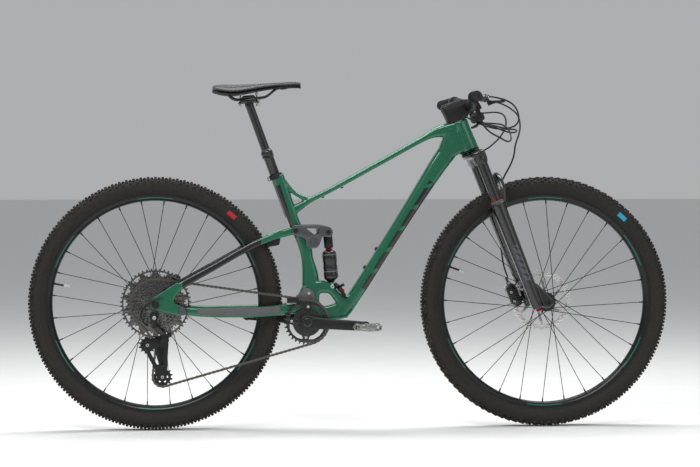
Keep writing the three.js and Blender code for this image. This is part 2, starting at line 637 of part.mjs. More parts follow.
const dropoutPlate = plate([
  [-590, 364], [-584, 353], [-566, 352], [-500, 338], [-485, 346], [-484, 362], [-506, 428],
  [-522, 428], [-560, 398], [-588, 386],
], 74, 82, 1.5);
const seatstayArm = loft([
  [-520, 77, 408, 9, 26],
  [-470, 71, 442, 10, 20],
  [-400, 61, 480, 12, 19],
  [-300, 46, 536, 13, 20],
  [-236, 35, 563, 12, 20],
  [-200, 26, 574, 11, 22],
  [-170, 25.6, 582, 10.5, 24],
]);
const seatstayEye = crossRod(STAY_EYE, 20.5, 31, 13);
const seatstayPin = crossRod(STAY_PIVOT, 64, 76, 6);
const seatstayBridge = block(at(-243, 0, 560), 9, 80, 16);
const seatstaySide = cut(
  join(dropoutPlate, seatstayArm, seatstayEye, seatstayPin),
  crossRod(STAY_EYE, 10, 50, 7.5),
  crossRod([-HALF_BASE, TYRE_RADIUS], 60, 100, 7.9),
);
piece(bike, "seatstay", join(bothSides(seatstaySide), seatstayBridge), EMERALD);

const ROCKER_Y = [32, 40];
const rockerOutline = [
  [-178, 576], [-180, 588], [-170, 597], [-96, 598], [-64, 590], [-58, 578], [-64, 566],
  [-88, 566], [-98, 536], [-114, 529], [-130, 538],
];
const rockerWindow = [[-132, 585], [-100, 586], [-108, 571]];
const rockerPlate = plate(rockerOutline, ...ROCKER_Y, 1.5, rockerWindow);
const rockerSide = cut(rockerPlate, crossRod(ROCKER_PIVOT, 10, 50, 6.4));
const rockerCrossbar = crossRod([-97, 581], -33, 33, 6, 10);
const eyePin = crossRod(STAY_EYE, 20.5, 33, 4.2, 10);
const shockPin = crossRod(SHOCK_TOP, -33, 33, 4, 10);
piece(bike, "rocker", join(bothSides(join(rockerSide, eyePin)), rockerCrossbar, shockPin), GUNMETAL);

// Shock: the air can turns on the frame's lugs and the shaft slides into it
const SHOCK_LENGTH = Math.hypot(SHOCK_TOP[0] - SHOCK_FOOT[0], SHOCK_TOP[1] - SHOCK_FOOT[1]);
const shockAxis = (along) => {
  const [x, z] = between(SHOCK_FOOT, SHOCK_TOP, along / SHOCK_LENGTH);
  return at(x, 0, z);
};
const canBody = join(
  crossRod(SHOCK_FOOT, -10.5, 10.5, 11),
  rod(shockAxis(2), shockAxis(20), 9, 8),
  rod(shockAxis(17), shockAxis(25), 14, 12, 20.6),
  rod(shockAxis(24), shockAxis(98), 21.5, 12),
  rod(shockAxis(96), shockAxis(106), 20.6, 12, 13),
);
const canBore = rod(shockAxis(46), shockAxis(120), 9.3, 12);
piece(bike, "shock_can", cut(canBody, canBore, crossRod(SHOCK_FOOT, -20, 20, 5.4)), GLOSS_BLACK);
const shaftBody = join(
  rod(shockAxis(95), shockAxis(158), 8.6, 12),
  crossRod(SHOCK_TOP, -11, 11, 10.5),
);
piece(bike, "shock_shaft", cut(shaftBody, crossRod(SHOCK_TOP, -20, 20, 7.2)), GREY_ALLOY);

// Drivetrain

// The closed path round circles {centre, radius, turn}, offset outwards.
// A turn of 1 is clockwise and -1 is the other way.
function beltLoop(circles, offset, arcStep) {
  const count = circles.length;
  const reach = circles.map(({ radius, turn }) => turn * radius + offset);
  const headings = circles.map(({ centre }, i) => {
    const next = circles[(i + 1) % count].centre;
    const [dx, dz] = [next[0] - centre[0], next[1] - centre[1]];
    return Math.atan2(dz, dx) - Math.asin((reach[i] - reach[(i + 1) % count]) / Math.hypot(dx, dz));
  });
  const points = [];
  circles.forEach(({ centre, turn }, i) => {
    const from = headings[(i + count - 1) % count] + Math.PI / 2;
    let sweep = headings[i] + Math.PI / 2 - from;
    while (turn * sweep > 0) sweep -= turn * 2 * Math.PI;
    while (turn * sweep < -2 * Math.PI) sweep += turn * 2 * Math.PI;
    const steps = Math.max(2, Math.ceil(Math.abs(sweep) / arcStep));
    for (let s = 0; s <= steps; s++) {
      const angle = from + (sweep * s) / steps;
      points.push([centre[0] + reach[i] * Math.cos(angle), centre[1] + reach[i] * Math.sin(angle)]);
    }
  });
  return points;
}

const chainCircles = [
  { centre: [-HALF_BASE, TYRE_RADIUS], radius: pitchRadius(COG_TEETH[COG_IN_USE]), turn: 1 },
  { centre: BOTTOM_BRACKET, radius: pitchRadius(RING_TEETH), turn: 1 },
  { centre: TENSION_CENTRE, radius: pitchRadius(TENSION_TEETH), turn: 1 },
  { centre: GUIDE_CENTRE, radius: pitchRadius(GUIDE_TEETH), turn: -1 },
];
const CHAIN_HALF_WIDTH = 2.4;
const CHAIN_REAR_X = -500;
const CHAIN_FRONT_X = -205;

function makeChain() {
  const outside = beltLoop(chainCircles, CHAIN_HALF_HEIGHT, 0.3);
  const inside = beltLoop(chainCircles, -CHAIN_HALF_HEIGHT, 0.3);
  const band = plate(outside, -CHAIN_HALF_WIDTH, CHAIN_HALF_WIDTH, 0, inside);
  return band.warp((vertex) => {
    const share = (vertex[0] - CHAIN_REAR_X) / (CHAIN_FRONT_X - CHAIN_REAR_X);
    vertex[1] += COG_Y + (RING_Y - COG_Y) * THREE.MathUtils.clamp(share, 0, 1);
  });
}
piece(bike, "chain", makeChain(), CHAIN_STEEL);

const ringOuter = pitchRadius(RING_TEETH) - CHAIN_ROOM;
const ringProfile = [
  [30.4, RING_Y + 3], [ringOuter - 6, RING_Y + 1.6], [ringOuter, RING_Y + 1.6],
  [ringOuter, RING_Y - 1.6], [ringOuter - 6, RING_Y - 1.6], [30.4, RING_Y - 3],
];
const crankAxis = new THREE.Group();
crankAxis.position.set(BOTTOM_BRACKET[0], 0, BOTTOM_BRACKET[1]);
crankAxis.rotation.y = CRANK_DROP;
bike.add(crankAxis);
piece(crankAxis, "chainring", spun(ringProfile, 24), GLOSS_BLACK);

const ARM_Y = [66, 84];
const armSide = loft([
  [-12, 75, 0, 18, 38],
  [30, 75, 0, 18, 38],
  [110, 77, 0, 15, 32],
  [CRANK_LENGTH, 77, 0, 14, 28],
], 8, 0.5);
const armRoot = crossRod([0, 0], ...ARM_Y, 21, 14);
const armTip = crossRod([CRANK_LENGTH, 0], 70, 84, 14.5);
const armBody = cut(join(armSide, armRoot, armTip), crossRod([CRANK_LENGTH, 0], 60, 84 + 10, 7));
const spider = crossRod([0, 0], -67, -47.6, 29.5, 16);
const spindle = crossRod([0, 0], -60, 82, 14.6, 14);
piece(crankAxis, "crank_right", join(mirrored(armBody), spider, spindle), GREY_ALLOY);
const leftArm = cut(armBody, crossRod([0, 0], 60, 90, 15.4, 14));
piece(crankAxis, "crank_left", leftArm.rotate([0, 180, 0]), GREY_ALLOY);

// Pedals: a spindle screwed into the crank and a clip-in body round it
function makePedal() {
  const pin = crossRod([0, 0], 70, 96, 6.5);
  const axle = crossRod([0, 0], 85, 150, 9);
  const bodyCore = plate([[-22, -9], [22, -11], [26, 0], [22, 11], [-22, 9], [-26, 0]], 98, 148, 3);
  const clipFront = plate([[20, -10], [40, -9], [42, 4], [34, 12], [20, 10]], 104, 142, 2);
  const clipRear = plate([[-20, 10], [-34, 12], [-40, 2], [-34, -8], [-20, -10]], 108, 138, 2);
  return join(pin, axle, bodyCore, clipFront, clipRear);
}
for (const [side, sign, place] of [["right", 1, mirrored], ["left", -1, (made) => made]]) {
  const pedal = new THREE.Group();
  const reachX = sign * CRANK_LENGTH * Math.cos(CRANK_DROP);
  const reachZ = -sign * CRANK_LENGTH * Math.sin(CRANK_DROP);
  pedal.position.set(BOTTOM_BRACKET[0] + reachX, 0, BOTTOM_BRACKET[1] + reachZ);
  bike.add(pedal);
  piece(pedal, "pedal_" + side, place(makePedal()), STEEL);
}

// Derailleur: hanger and knuckle, parallelogram link, cage knuckle, cage and two pulleys
const LINK_TOP = [-576, -86, 309];
const LINK_FOOT = [-553, -62, 287];
const hangerArm = plate([[-588, 349], [-564, 349], [-564, 332], [-578, 322], [-592, 332]], -81, -74.4, 1);
const hangerBarrel = crossRod([-578, 334], -97, -80, 11);
piece(bike, "derailleur_hanger", join(hangerArm, hangerBarrel), SATIN_BLACK);
const linkBody = loft([[...LINK_TOP, 18, 14], [...LINK_FOOT, 18, 12]], 10);
piece(bike, "derailleur_link", linkBody, SATIN_BLACK);
const knuckleBarrel = crossRod(CAGE_PIVOT, -64, -50, 12);
piece(bike, "derailleur_knuckle", knuckleBarrel, SATIN_BLACK);

const cageOutline = [
  [-537, 258], [-538, 272], [-549, 279], [-600, 266], [-613, 254], [-608, 240],
  [-572, 170], [-570, 150], [-556, 144], [-543, 150], [-543, 168],
];
// The inner plate has no lobe at the pivot, so it passes under the largest cogs.
const cageInnerOutline = [
  [-581, 251], [-585, 262], [-598, 267], [-611, 262], [-613, 254], [-608, 240],
  [-572, 170], [-570, 150], [-556, 144], [-543, 150], [-543, 168],
];
const CAGE_INNER = 3.6;
const CAGE_OUTER = CAGE_INNER + 2;
const cagePlates = [
  plate(cageOutline, COG_Y - CAGE_OUTER, COG_Y - CAGE_INNER),
  plate(cageInnerOutline, COG_Y + CAGE_INNER, COG_Y + CAGE_OUTER),
];
const cageBolts = [GUIDE_CENTRE, TENSION_CENTRE].map((centre) =>
  crossRod(centre, COG_Y - CAGE_INNER - 1, COG_Y + CAGE_INNER + 1, 3, 8));
const cagePivot = crossRod(CAGE_PIVOT, COG_Y - CAGE_INNER - 1, -49.6, 5, 10);
piece(bike, "derailleur_cage", join(...cagePlates, ...cageBolts, cagePivot), SATIN_BLACK);

for (const [name, centre, teeth] of [
  ["guide_pulley", GUIDE_CENTRE, GUIDE_TEETH],
  ["tension_pulley", TENSION_CENTRE, TENSION_TEETH],
]) {
  const rim = pitchRadius(teeth) - CHAIN_ROOM;
  const wheel = crossRod(centre, COG_Y - 2, COG_Y + 2, rim, 20);
  piece(bike, name, cut(wheel, crossRod(centre, -60, -20, 3.5, 12)), SATIN_BLACK);
}

// Hoses and cables, each whole between the pieces that hold it
const HOSE_RADIUS = 2.5;
const CABLES = {
  front_brake_hose: [
    [366.8, 127.7, 969.8], [369, 114, 971], [384, 102, 973], [412, 98, 970], [440, 98, 965], [466, 97, 957],
    [489, 92, 944], [507, 80, 925], [512, 65, 900], [508, 50, 873], [495, 42, 835], [489, 40, 800],
    [478, 46, 770], [462, 62, 735], [452, 95, 690], [458, 98, 560], [468, 96, 478], [478, 84, 440],
    [470, 60, 436],
  ],
  lockout_cable: [
    [360.8, 160.2, 938.4], [366, 146, 937], [384, 130, 932], [414, 121, 932], [445, 116, 934],
    [466, 106, 928], [474, 95, 912], [472, 85, 889], [461, 80, 868], [446, 76, 850], [422, 72, 829],
    [404, 71, 818], [388.7, 70, 809.8],
  ],
  rear_brake_hose: [
    [366.8, -127.7, 969.8], [369, -114, 971], [386, -100, 973], [414, -94, 970], [444, -90, 962],
    [468, -78, 949], [486, -50, 928], [493, -20, 905], [486, 8, 890], [462, 20, 884], [430, 16, 890],
    [400, 13, 896], [372, 12, 904], [357.6, 12, 916], [352.7, 12, 926.4],
  ],
  shift_housing: [
    [355, -152.6, 912.3], [358, -141, 906], [372, -128, 888], [394, -118, 868], [424, -106, 853],
    [448, -82, 843], [463, -58, 846], [468, -36, 858], [464, -18, 878], [446, -8, 893], [420, -4, 897],
    [398, -2, 898], [372, -1, 905], [357.6, -1, 916], [352.7, -1, 926.4],
  ],
  remote_cable: [
    [354.1, 159.3, 928.2], [358, 146, 924], [374, 133, 912], [400, 125, 899], [432, 118, 888],
    [462, 108, 883], [490, 80, 882], [499, 50, 878], [488, 20, 871], [462, -10, 872], [432, -15, 882],
    [400, -15, 893], [372, -14, 903], [357.6, -14, 916], [352.7, -14, 926.4],
  ],
  derailleur_housing: [
    [-552, -86, 392], [-575, -88, 386], [-602, -88, 368], [-616, -86, 345], [-610, -82, 322], [-597, -76, 310],
  ],
};
for (const [name, points] of Object.entries(CABLES)) {
  piece(bike, name, cable(points, HOSE_RADIUS, Math.round(points.length * 1.5)), SATIN_BLACK);
}

export default bike;
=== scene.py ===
"""Full-suspension mountain bike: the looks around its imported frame. Lengths below are in millimetres."""
import math

import bmesh
import bpy
from mathutils import Matrix, Vector
from mathutils.geometry import tessellate_polygon


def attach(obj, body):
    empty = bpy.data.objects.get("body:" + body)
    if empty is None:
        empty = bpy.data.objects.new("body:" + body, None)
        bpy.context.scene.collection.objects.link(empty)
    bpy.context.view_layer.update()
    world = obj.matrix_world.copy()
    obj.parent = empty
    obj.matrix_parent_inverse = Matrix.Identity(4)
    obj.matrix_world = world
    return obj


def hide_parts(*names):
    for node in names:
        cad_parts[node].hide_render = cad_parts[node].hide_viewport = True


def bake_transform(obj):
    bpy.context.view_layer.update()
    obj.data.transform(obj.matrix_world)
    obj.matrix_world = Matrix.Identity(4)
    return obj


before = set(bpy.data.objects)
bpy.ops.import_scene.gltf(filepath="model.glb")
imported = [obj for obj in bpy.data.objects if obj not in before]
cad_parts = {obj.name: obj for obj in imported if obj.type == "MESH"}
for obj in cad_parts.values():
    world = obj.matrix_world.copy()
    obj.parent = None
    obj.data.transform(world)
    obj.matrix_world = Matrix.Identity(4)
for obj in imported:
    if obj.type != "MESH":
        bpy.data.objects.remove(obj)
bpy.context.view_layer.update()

MM = 0.001
HEAD_LEAN = math.radians(21.5)
HALF_BASE = 574
AXLE_Z = 370
REAR_AXLE = (-HALF_BASE, 0, AXLE_Z)
FRONT_AXLE = (HALF_BASE, 0, AXLE_Z)
BOTTOM_BRACKET = (-135, 316)
MAIN_PIVOT = (-140, 357)
STAY_PIVOT = (-497, 352)
STAY_EYE = (-167, 583)
ROCKER_PIVOT = (-114, 548)
SHOCK_TOP = (-71, 578)
SHOCK_FOOT = (-58, 418)
GUIDE_CENTRE = (-598, 251)
TENSION_CENTRE = (-555, 158)
CAGE_PIVOT = (-549, 266)
COG_TEETH = [50, 42, 36, 32, 28, 24, 21, 18, 16, 14, 12, 10]
COG_IN_USE = 2
COG_Y = -40.4
RING_Y = -52
RING_TEETH = 32
CHAIN_PITCH = 12.7
ACROSS, UPWARD = (0, 1, 0), (0, 0, 1)
LEG_PLACE = (11, 68, 0)
KNOB_PLACE = (11, -68, 0)
FORK_OFFSET = 44
LOFT_STEPS = 5
STEER = Matrix.Translation(
    (HALF_BASE - FORK_OFFSET * math.cos(HEAD_LEAN), 0, AXLE_Z - FORK_OFFSET * math.sin(HEAD_LEAN))
) @ Matrix.Rotation(-HEAD_LEAN, 4, "Y")


# Shapes: a shape is a list of points and a list of faces


def at(centre, y=0):
    """The point at y across the bike from a side-view centre (x, z)."""
    return centre[0], y, centre[1]


def polar(centre, radius, angle):
    return centre[0] + radius * math.cos(angle), centre[1] + radius * math.sin(angle)


def merged(*shapes):
    """One shape from several."""
    points, faces = [], []
    for shape_points, shape_faces in shapes:
        base = len(points)
        points += shape_points
        faces += [[base + i for i in face] for face in shape_faces]
    return points, faces


def moved(shape, matrix):
    return [matrix @ Vector(p) for p in shape[0]], shape[1]


def mirrored(shape):
    return [Vector((p[0], -p[1], p[2])) for p in shape[0]], [f[::-1] for f in shape[1]]


def both(shape):
    """A shape and its mirror image on the bike's other side."""
    return merged(shape, mirrored(shape))


def steered(shape):
    """A shape moved from the steering axis's own frame, whose origin is level with the front axle."""
    return moved(shape, STEER)


def flat(shape):
    """Lays a plate down: its thickness runs along Z instead of Y."""
    return [Vector((p[0], p[2], p[1])) for p in shape[0]], [f[::-1] for f in shape[1]]


def skin(rings, tube_closed=False):
    """Faces over closed rings of equal length, capped at both ends unless the last ring meets the first."""
    count = len(rings[0])
    points = [Vector(p) for ring in rings for p in ring]
    faces = []
    for i in range(len(rings) if tube_closed else len(rings) - 1):
        a, b = i * count, ((i + 1) % len(rings)) * count
        for s in range(count):
            t = (s + 1) % count
            faces.append([a + s, a + t, b + t, b + s])
    if not tube_closed:
        faces.append(list(range(count))[::-1])
        faces.append([(len(rings) - 1) * count + s for s in range(count)])
    return points, faces


def spline(rows, steps):
    """Rows of numbers, with smooth rows put between them."""
    out = []
    for i in range(len(rows) - 1):
        p = [rows[max(i - 1, 0)], rows[i], rows[i + 1], rows[min(i + 2, len(rows) - 1)]]
        for s in range(steps):
            t = s / steps
            out.append([
                0.5 * (
                    2 * b + (c - a) * t + (
                        2 * a - 5 * b + 4 * c - d
                    ) * t * t + (3 * b - a - 3 * c + d) * t ** 3
                )
                for a, b, c, d in zip(*p)
            ])
    return [*out, list(rows[-1])]


def loft(stations, sides=28, power=0.65, dome=0.0):
    """A tube through stations [x, y, z, width across Y, depth in the side view], squarer at low power."""
    rows = spline(stations, LOFT_STEPS)
    rings = []
    for i, (x, y, z, width, depth) in enumerate(rows):
        before, after = rows[max(i - 1, 0)], rows[min(i + 1, len(rows) - 1)]
        run = math.hypot(after[0] - before[0], after[2] - before[2]) or 1
        side = ((before[2] - after[2]) / run, (after[0] - before[0]) / run)
        ring = []
        for s in range(sides):
            angle = 2 * math.pi * (s + 0.5) / sides
            c, u = math.cos(angle), math.sin(angle)
            across = math.copysign(abs(c) ** power, c) * width / 2
            up = math.copysign(abs(u) ** power, u) * depth / 2
            ring.append((x + side[0] * up, y + across, z + side[1] * up))
        rings.append(ring)
    if dome:
        for end in (0, -1):
            here = rows[end]
            near = rows[1 if end == 0 else -2]
            out = Vector((here[0] - near[0], here[1] - near[1], here[2] - near[2])).normalized()
            middle = Vector(here[:3])
            edge = [Vector(p) for p in rings[end]]
            extra = []
            for share in (0.35, 0.65, 0.9):
                shrink = math.cos(math.asin(share))
                extra.append([middle + (p - middle) * shrink + out * dome * share for p in edge])
            rings = extra[::-1] + rings if end == 0 else rings + extra
    return skin(rings)


def tube(points, radius, sides=12, steps=6):
    """A round tube through points; radius is a number or one for each point."""
    radii = radius if isinstance(radius, (list, tuple)) else [radius] * len(points)
    rows = [[*p, r] for p, r in zip(points, radii)]
    rows = spline(rows, steps)
    places = [Vector(row[:3]) for row in rows]
    side = None
    rings = []
    for i, place in enumerate(places):
        ahead = (places[min(i + 1, len(places) - 1)] - places[max(i - 1, 0)]).normalized()
        if side is None:
            side = ahead.orthogonal().normalized()
        side = (side - ahead * side.dot(ahead)).normalized()
        up = ahead.cross(side)
        turn = [2 * math.pi * s / sides for s in range(sides)]
        rings.append([place + (side * math.cos(a) + up * math.sin(a)) * rows[i][3] for a in turn])
    return skin(rings)


def lathe(profile, origin=(0, 0, 0), axis=ACROSS, sides=40, closed=False, hexed=None):
    """A turned shape from [radius, height along the axis]; from index hexed on, it is a hexagon."""
    to = Vector((0, 0, 1)).rotation_difference(Vector(axis).normalized()).to_matrix()
    rings = []
    for i, (radius, height) in enumerate(profile):
        ring = []
        for s in range(sides):
            angle = 2 * math.pi * s / sides
            r = max(radius, 0.01)
            if hexed is not None and i >= hexed:
                sixth = (angle % (math.pi / 3)) - math.pi / 6
                r *= math.cos(math.pi / 6) / math.cos(sixth)
            ring.append(Vector(origin) + to @ Vector((r * math.cos(angle), r * math.sin(angle), height)))
        rings.append(ring)
    return skin(rings, tube_closed=closed)


def upright(profile, sides=48, place=(0, 0, 0), **more):
    return lathe(profile, place, UPWARD, sides, **more)


def turned(profile, sides=48, place=(0, 0, 0), **more):
    return lathe(profile, place, ACROSS, sides, **more)


def bolt(origin, axis, radius, height, socket=0.5):
    """A round bolt head with a hexagon socket."""
    s = radius * socket
    profile = [
        (radius, 0), (radius, height * 0.7), (radius * 0.93, height * 0.93), (radius * 0.85, height),
        (s * 1.2, height), (s, height * 0.9), (s, height * 0.25), (0, height * 0.25),
    ]
    return lathe(profile, origin, axis, 24, hexed=5)


def across(centre, y_from, y_to, radius, chamfer=1.0):
    """A round bar across the bike with chamfered rims, centred on (x, z)."""
    c, length = chamfer, abs(y_to - y_from)
    axis = (0, 1 if y_to > y_from else -1, 0)
    profile = [(radius - c, 0), (radius, c), (radius, length - c), (radius - c, length)]
    return lathe(profile, at(centre, y_from), axis)


def rod(start, end, radius, end_radius=None, chamfer=0.6, sides=32):
    """A round bar from one point to another with chamfered ends."""
    a, b = Vector(start), Vector(end)
    length = (b - a).length
    last = radius if end_radius is None else end_radius
    c = min(chamfer, radius * 0.5, length * 0.3)
    return lathe([(radius - c, 0), (radius, c), (last, length - c), (last - c, length)], a, b - a, sides)


def area(loop):
    return sum(a[0] * b[1] - b[0] * a[1] for a, b in zip(loop, loop[1:] + loop[:1])) / 2


def inset(loop, amount):
    """The loop moved to its left."""
    out = []
    for i, p in enumerate(loop):
        a, b = loop[i - 1], loop[(i + 1) % len(loop)]
        u = Vector((p[0] - a[0], p[1] - a[1])).normalized()
        v = Vector((b[0] - p[0], b[1] - p[1])).normalized()
        n = Vector((-u.y - v.y, u.x + v.x))
        if n.length < 1e-6:
            n = Vector((-v.y, v.x))
        n.normalize()
        reach = amount / max(0.5, n.dot(Vector((-v.y, v.x))))
        out.append((p[0] + n.x * reach, p[1] + n.y * reach))
    return out


def rounded(outline, radius, steps=4):
    """The outline with each corner turned into a curve."""
    out = []
    for i, p in enumerate(outline):
        corner = Vector(p)
        a, b = Vector(outline[i - 1]) - corner, Vector(outline[(i + 1) % len(outline)]) - corner
        start = corner + a.normalized() * min(radius, a.length * 0.48)
        end = corner + b.normalized() * min(radius, b.length * 0.48)
        for s in range(steps + 1):
            t = s / steps
            q = start * (1 - t) ** 2 + corner * 2 * t * (1 - t) + end * t * t
            out.append((q.x, q.y))
    return out


def plate(outline, y_from, y_to, bevel=0.8, holes=()):
    """A plate of [x, z] outline with rounded rims, and holes through it."""
    outer = outline if area(outline) > 0 else outline[::-1]
    inner = [h if area(h) < 0 else h[::-1] for h in holes]
    low, high = min(y_from, y_to), max(y_from, y_to)
    b = min(bevel, (high - low) * 0.45)
    loops = [outer, *inner]
    flat_points = [[Vector((x, z, 0)) for x, z in inset(loop, b)] for loop in loops]
    triangles = tessellate_polygon(flat_points)
    points, faces = [], []
    starts = []
    layers = [
        (low, b), (low + 0.3 * b, 0.3 * b), (low + b, 0), (high - b, 0), (high - 0.3 * b, 0.3 * b),
        (high, b),
    ]
    for y, amount in layers:
        starts.append(len(points))
        for loop in loops:
            points += [Vector((x, y, z)) for x, z in inset(loop, amount)]
    for layer in range(len(layers) - 1):
        base = 0
        for loop in loops:
            for i in range(len(loop)):
                j = (i + 1) % len(loop)
                a, c = starts[layer] + base, starts[layer + 1] + base
                faces.append([a + i, c + i, c + j, a + j])
            base += len(loop)
    faces += [[starts[0] + i for i in t] for t in triangles]
    faces += [[starts[-1] + i for i in t][::-1] for t in triangles]
    return points, faces


def circle(centre, radius, count=20):
    return [polar(centre, radius, 2 * math.pi * i / count) for i in range(count)]


def box(centre, size, turn=None):
    """A block; turn is a matrix applied before it is put in place."""
    signs = [(x, y, z) for x in (-1, 1) for y in (-1, 1) for z in (-1, 1)]
    points = [Vector((s[0] * size[0] / 2, s[1] * size[1] / 2, s[2] * size[2] / 2)) for s in signs]
    if turn:
        points = [turn @ p for p in points]
    points = [p + Vector(centre) for p in points]
    faces = [[0, 1, 3, 2], [4, 6, 7, 5], [0, 4, 5, 1], [2, 3, 7, 6], [0, 2, 6, 4], [1, 5, 7, 3]]
    return points, faces


def pitch_radius(teeth):
    """The radius of a sprocket's chain pins."""
    return CHAIN_PITCH / (2 * math.sin(math.pi / teeth))


def toothed(centre, teeth, root, tip, phase=0.0):
    """A sprocket's outline."""
    out = []
    for k in range(teeth):
        for share, radius in ((-0.5, root), (-0.27, root + 0.4), (-0.1, tip), (0.1, tip), (0.27, root + 0.4)):
            angle = 2 * math.pi * (k + share + phase) / teeth
            out.append(polar(centre, radius, angle))
    return out


# Meshes


def settled(obj):
    """Applies the object's modifiers."""
    graph = bpy.context.evaluated_depsgraph_get()
    graph.update()
    mesh = bpy.data.meshes.new_from_object(obj.evaluated_get(graph))
    obj.modifiers.clear()
    obj.data = mesh


def make(
    name, shape, material, body, replaces=None, slot=None,
    smooth=35, bevel=0, voxel=0, relax=4, levels=0, cutter=None,
):
    """A piece of the bike from a shape, on a body."""
    mesh = bpy.data.meshes.new(name)
    mesh.from_pydata([Vector(p) * MM for p in shape[0]], [], shape[1])
    work = bmesh.new()
    work.from_mesh(mesh)
    bmesh.ops.recalc_face_normals(work, faces=work.faces)
    if bevel:
        edges = [e for e in work.edges if len(e.link_faces) == 2 and e.calc_face_angle(0) > math.radians(30)]
        bmesh.ops.bevel(
            work, geom=edges, offset=bevel * MM, segments=2, profile=0.5, affect="EDGES",
            clamp_overlap=True,
        )
    work.to_mesh(mesh)
    work.free()
    obj = bpy.data.objects.new(name, mesh)
    bpy.context.scene.collection.objects.link(obj)
    if voxel:
        remesh = obj.modifiers.new("remesh", "REMESH")
        remesh.mode = "VOXEL"
        remesh.voxel_size = voxel * MM
        if relax:
            ease = obj.modifiers.new("ease", "SMOOTH")
            ease.factor = 0.5
            ease.iterations = relax
        settled(obj)
    if cutter:
        tool_mesh = bpy.data.meshes.new("cutter")
        tool_mesh.from_pydata([Vector(p) * MM for p in cutter[0]], [], cutter[1])
        tool = bpy.data.objects.new("cutter", tool_mesh)
        bpy.context.scene.collection.objects.link(tool)
        carve = obj.modifiers.new("carve", "BOOLEAN")
        carve.operation = "DIFFERENCE"
        carve.object = tool
        carve.solver = "EXACT"
        settled(obj)
        bpy.data.objects.remove(tool)
    if levels:
        finer = obj.modifiers.new("finer", "SUBSURF")
        finer.levels = finer.render_levels = levels
        settled(obj)
    obj.data.materials.clear()
    obj.data.materials.append(material)
    obj.data.polygons.foreach_set("use_smooth", [True] * len(obj.data.polygons))
    if smooth < 180:
        obj.data.set_sharp_from_angle(angle=math.radians(smooth))
    if isinstance(body, str):
        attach(obj, body)
    else:
        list(body)
        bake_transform(obj)
    slot or SLOTS[material.name]
    if replaces:
        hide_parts(replaces)
    return obj


# Finishes


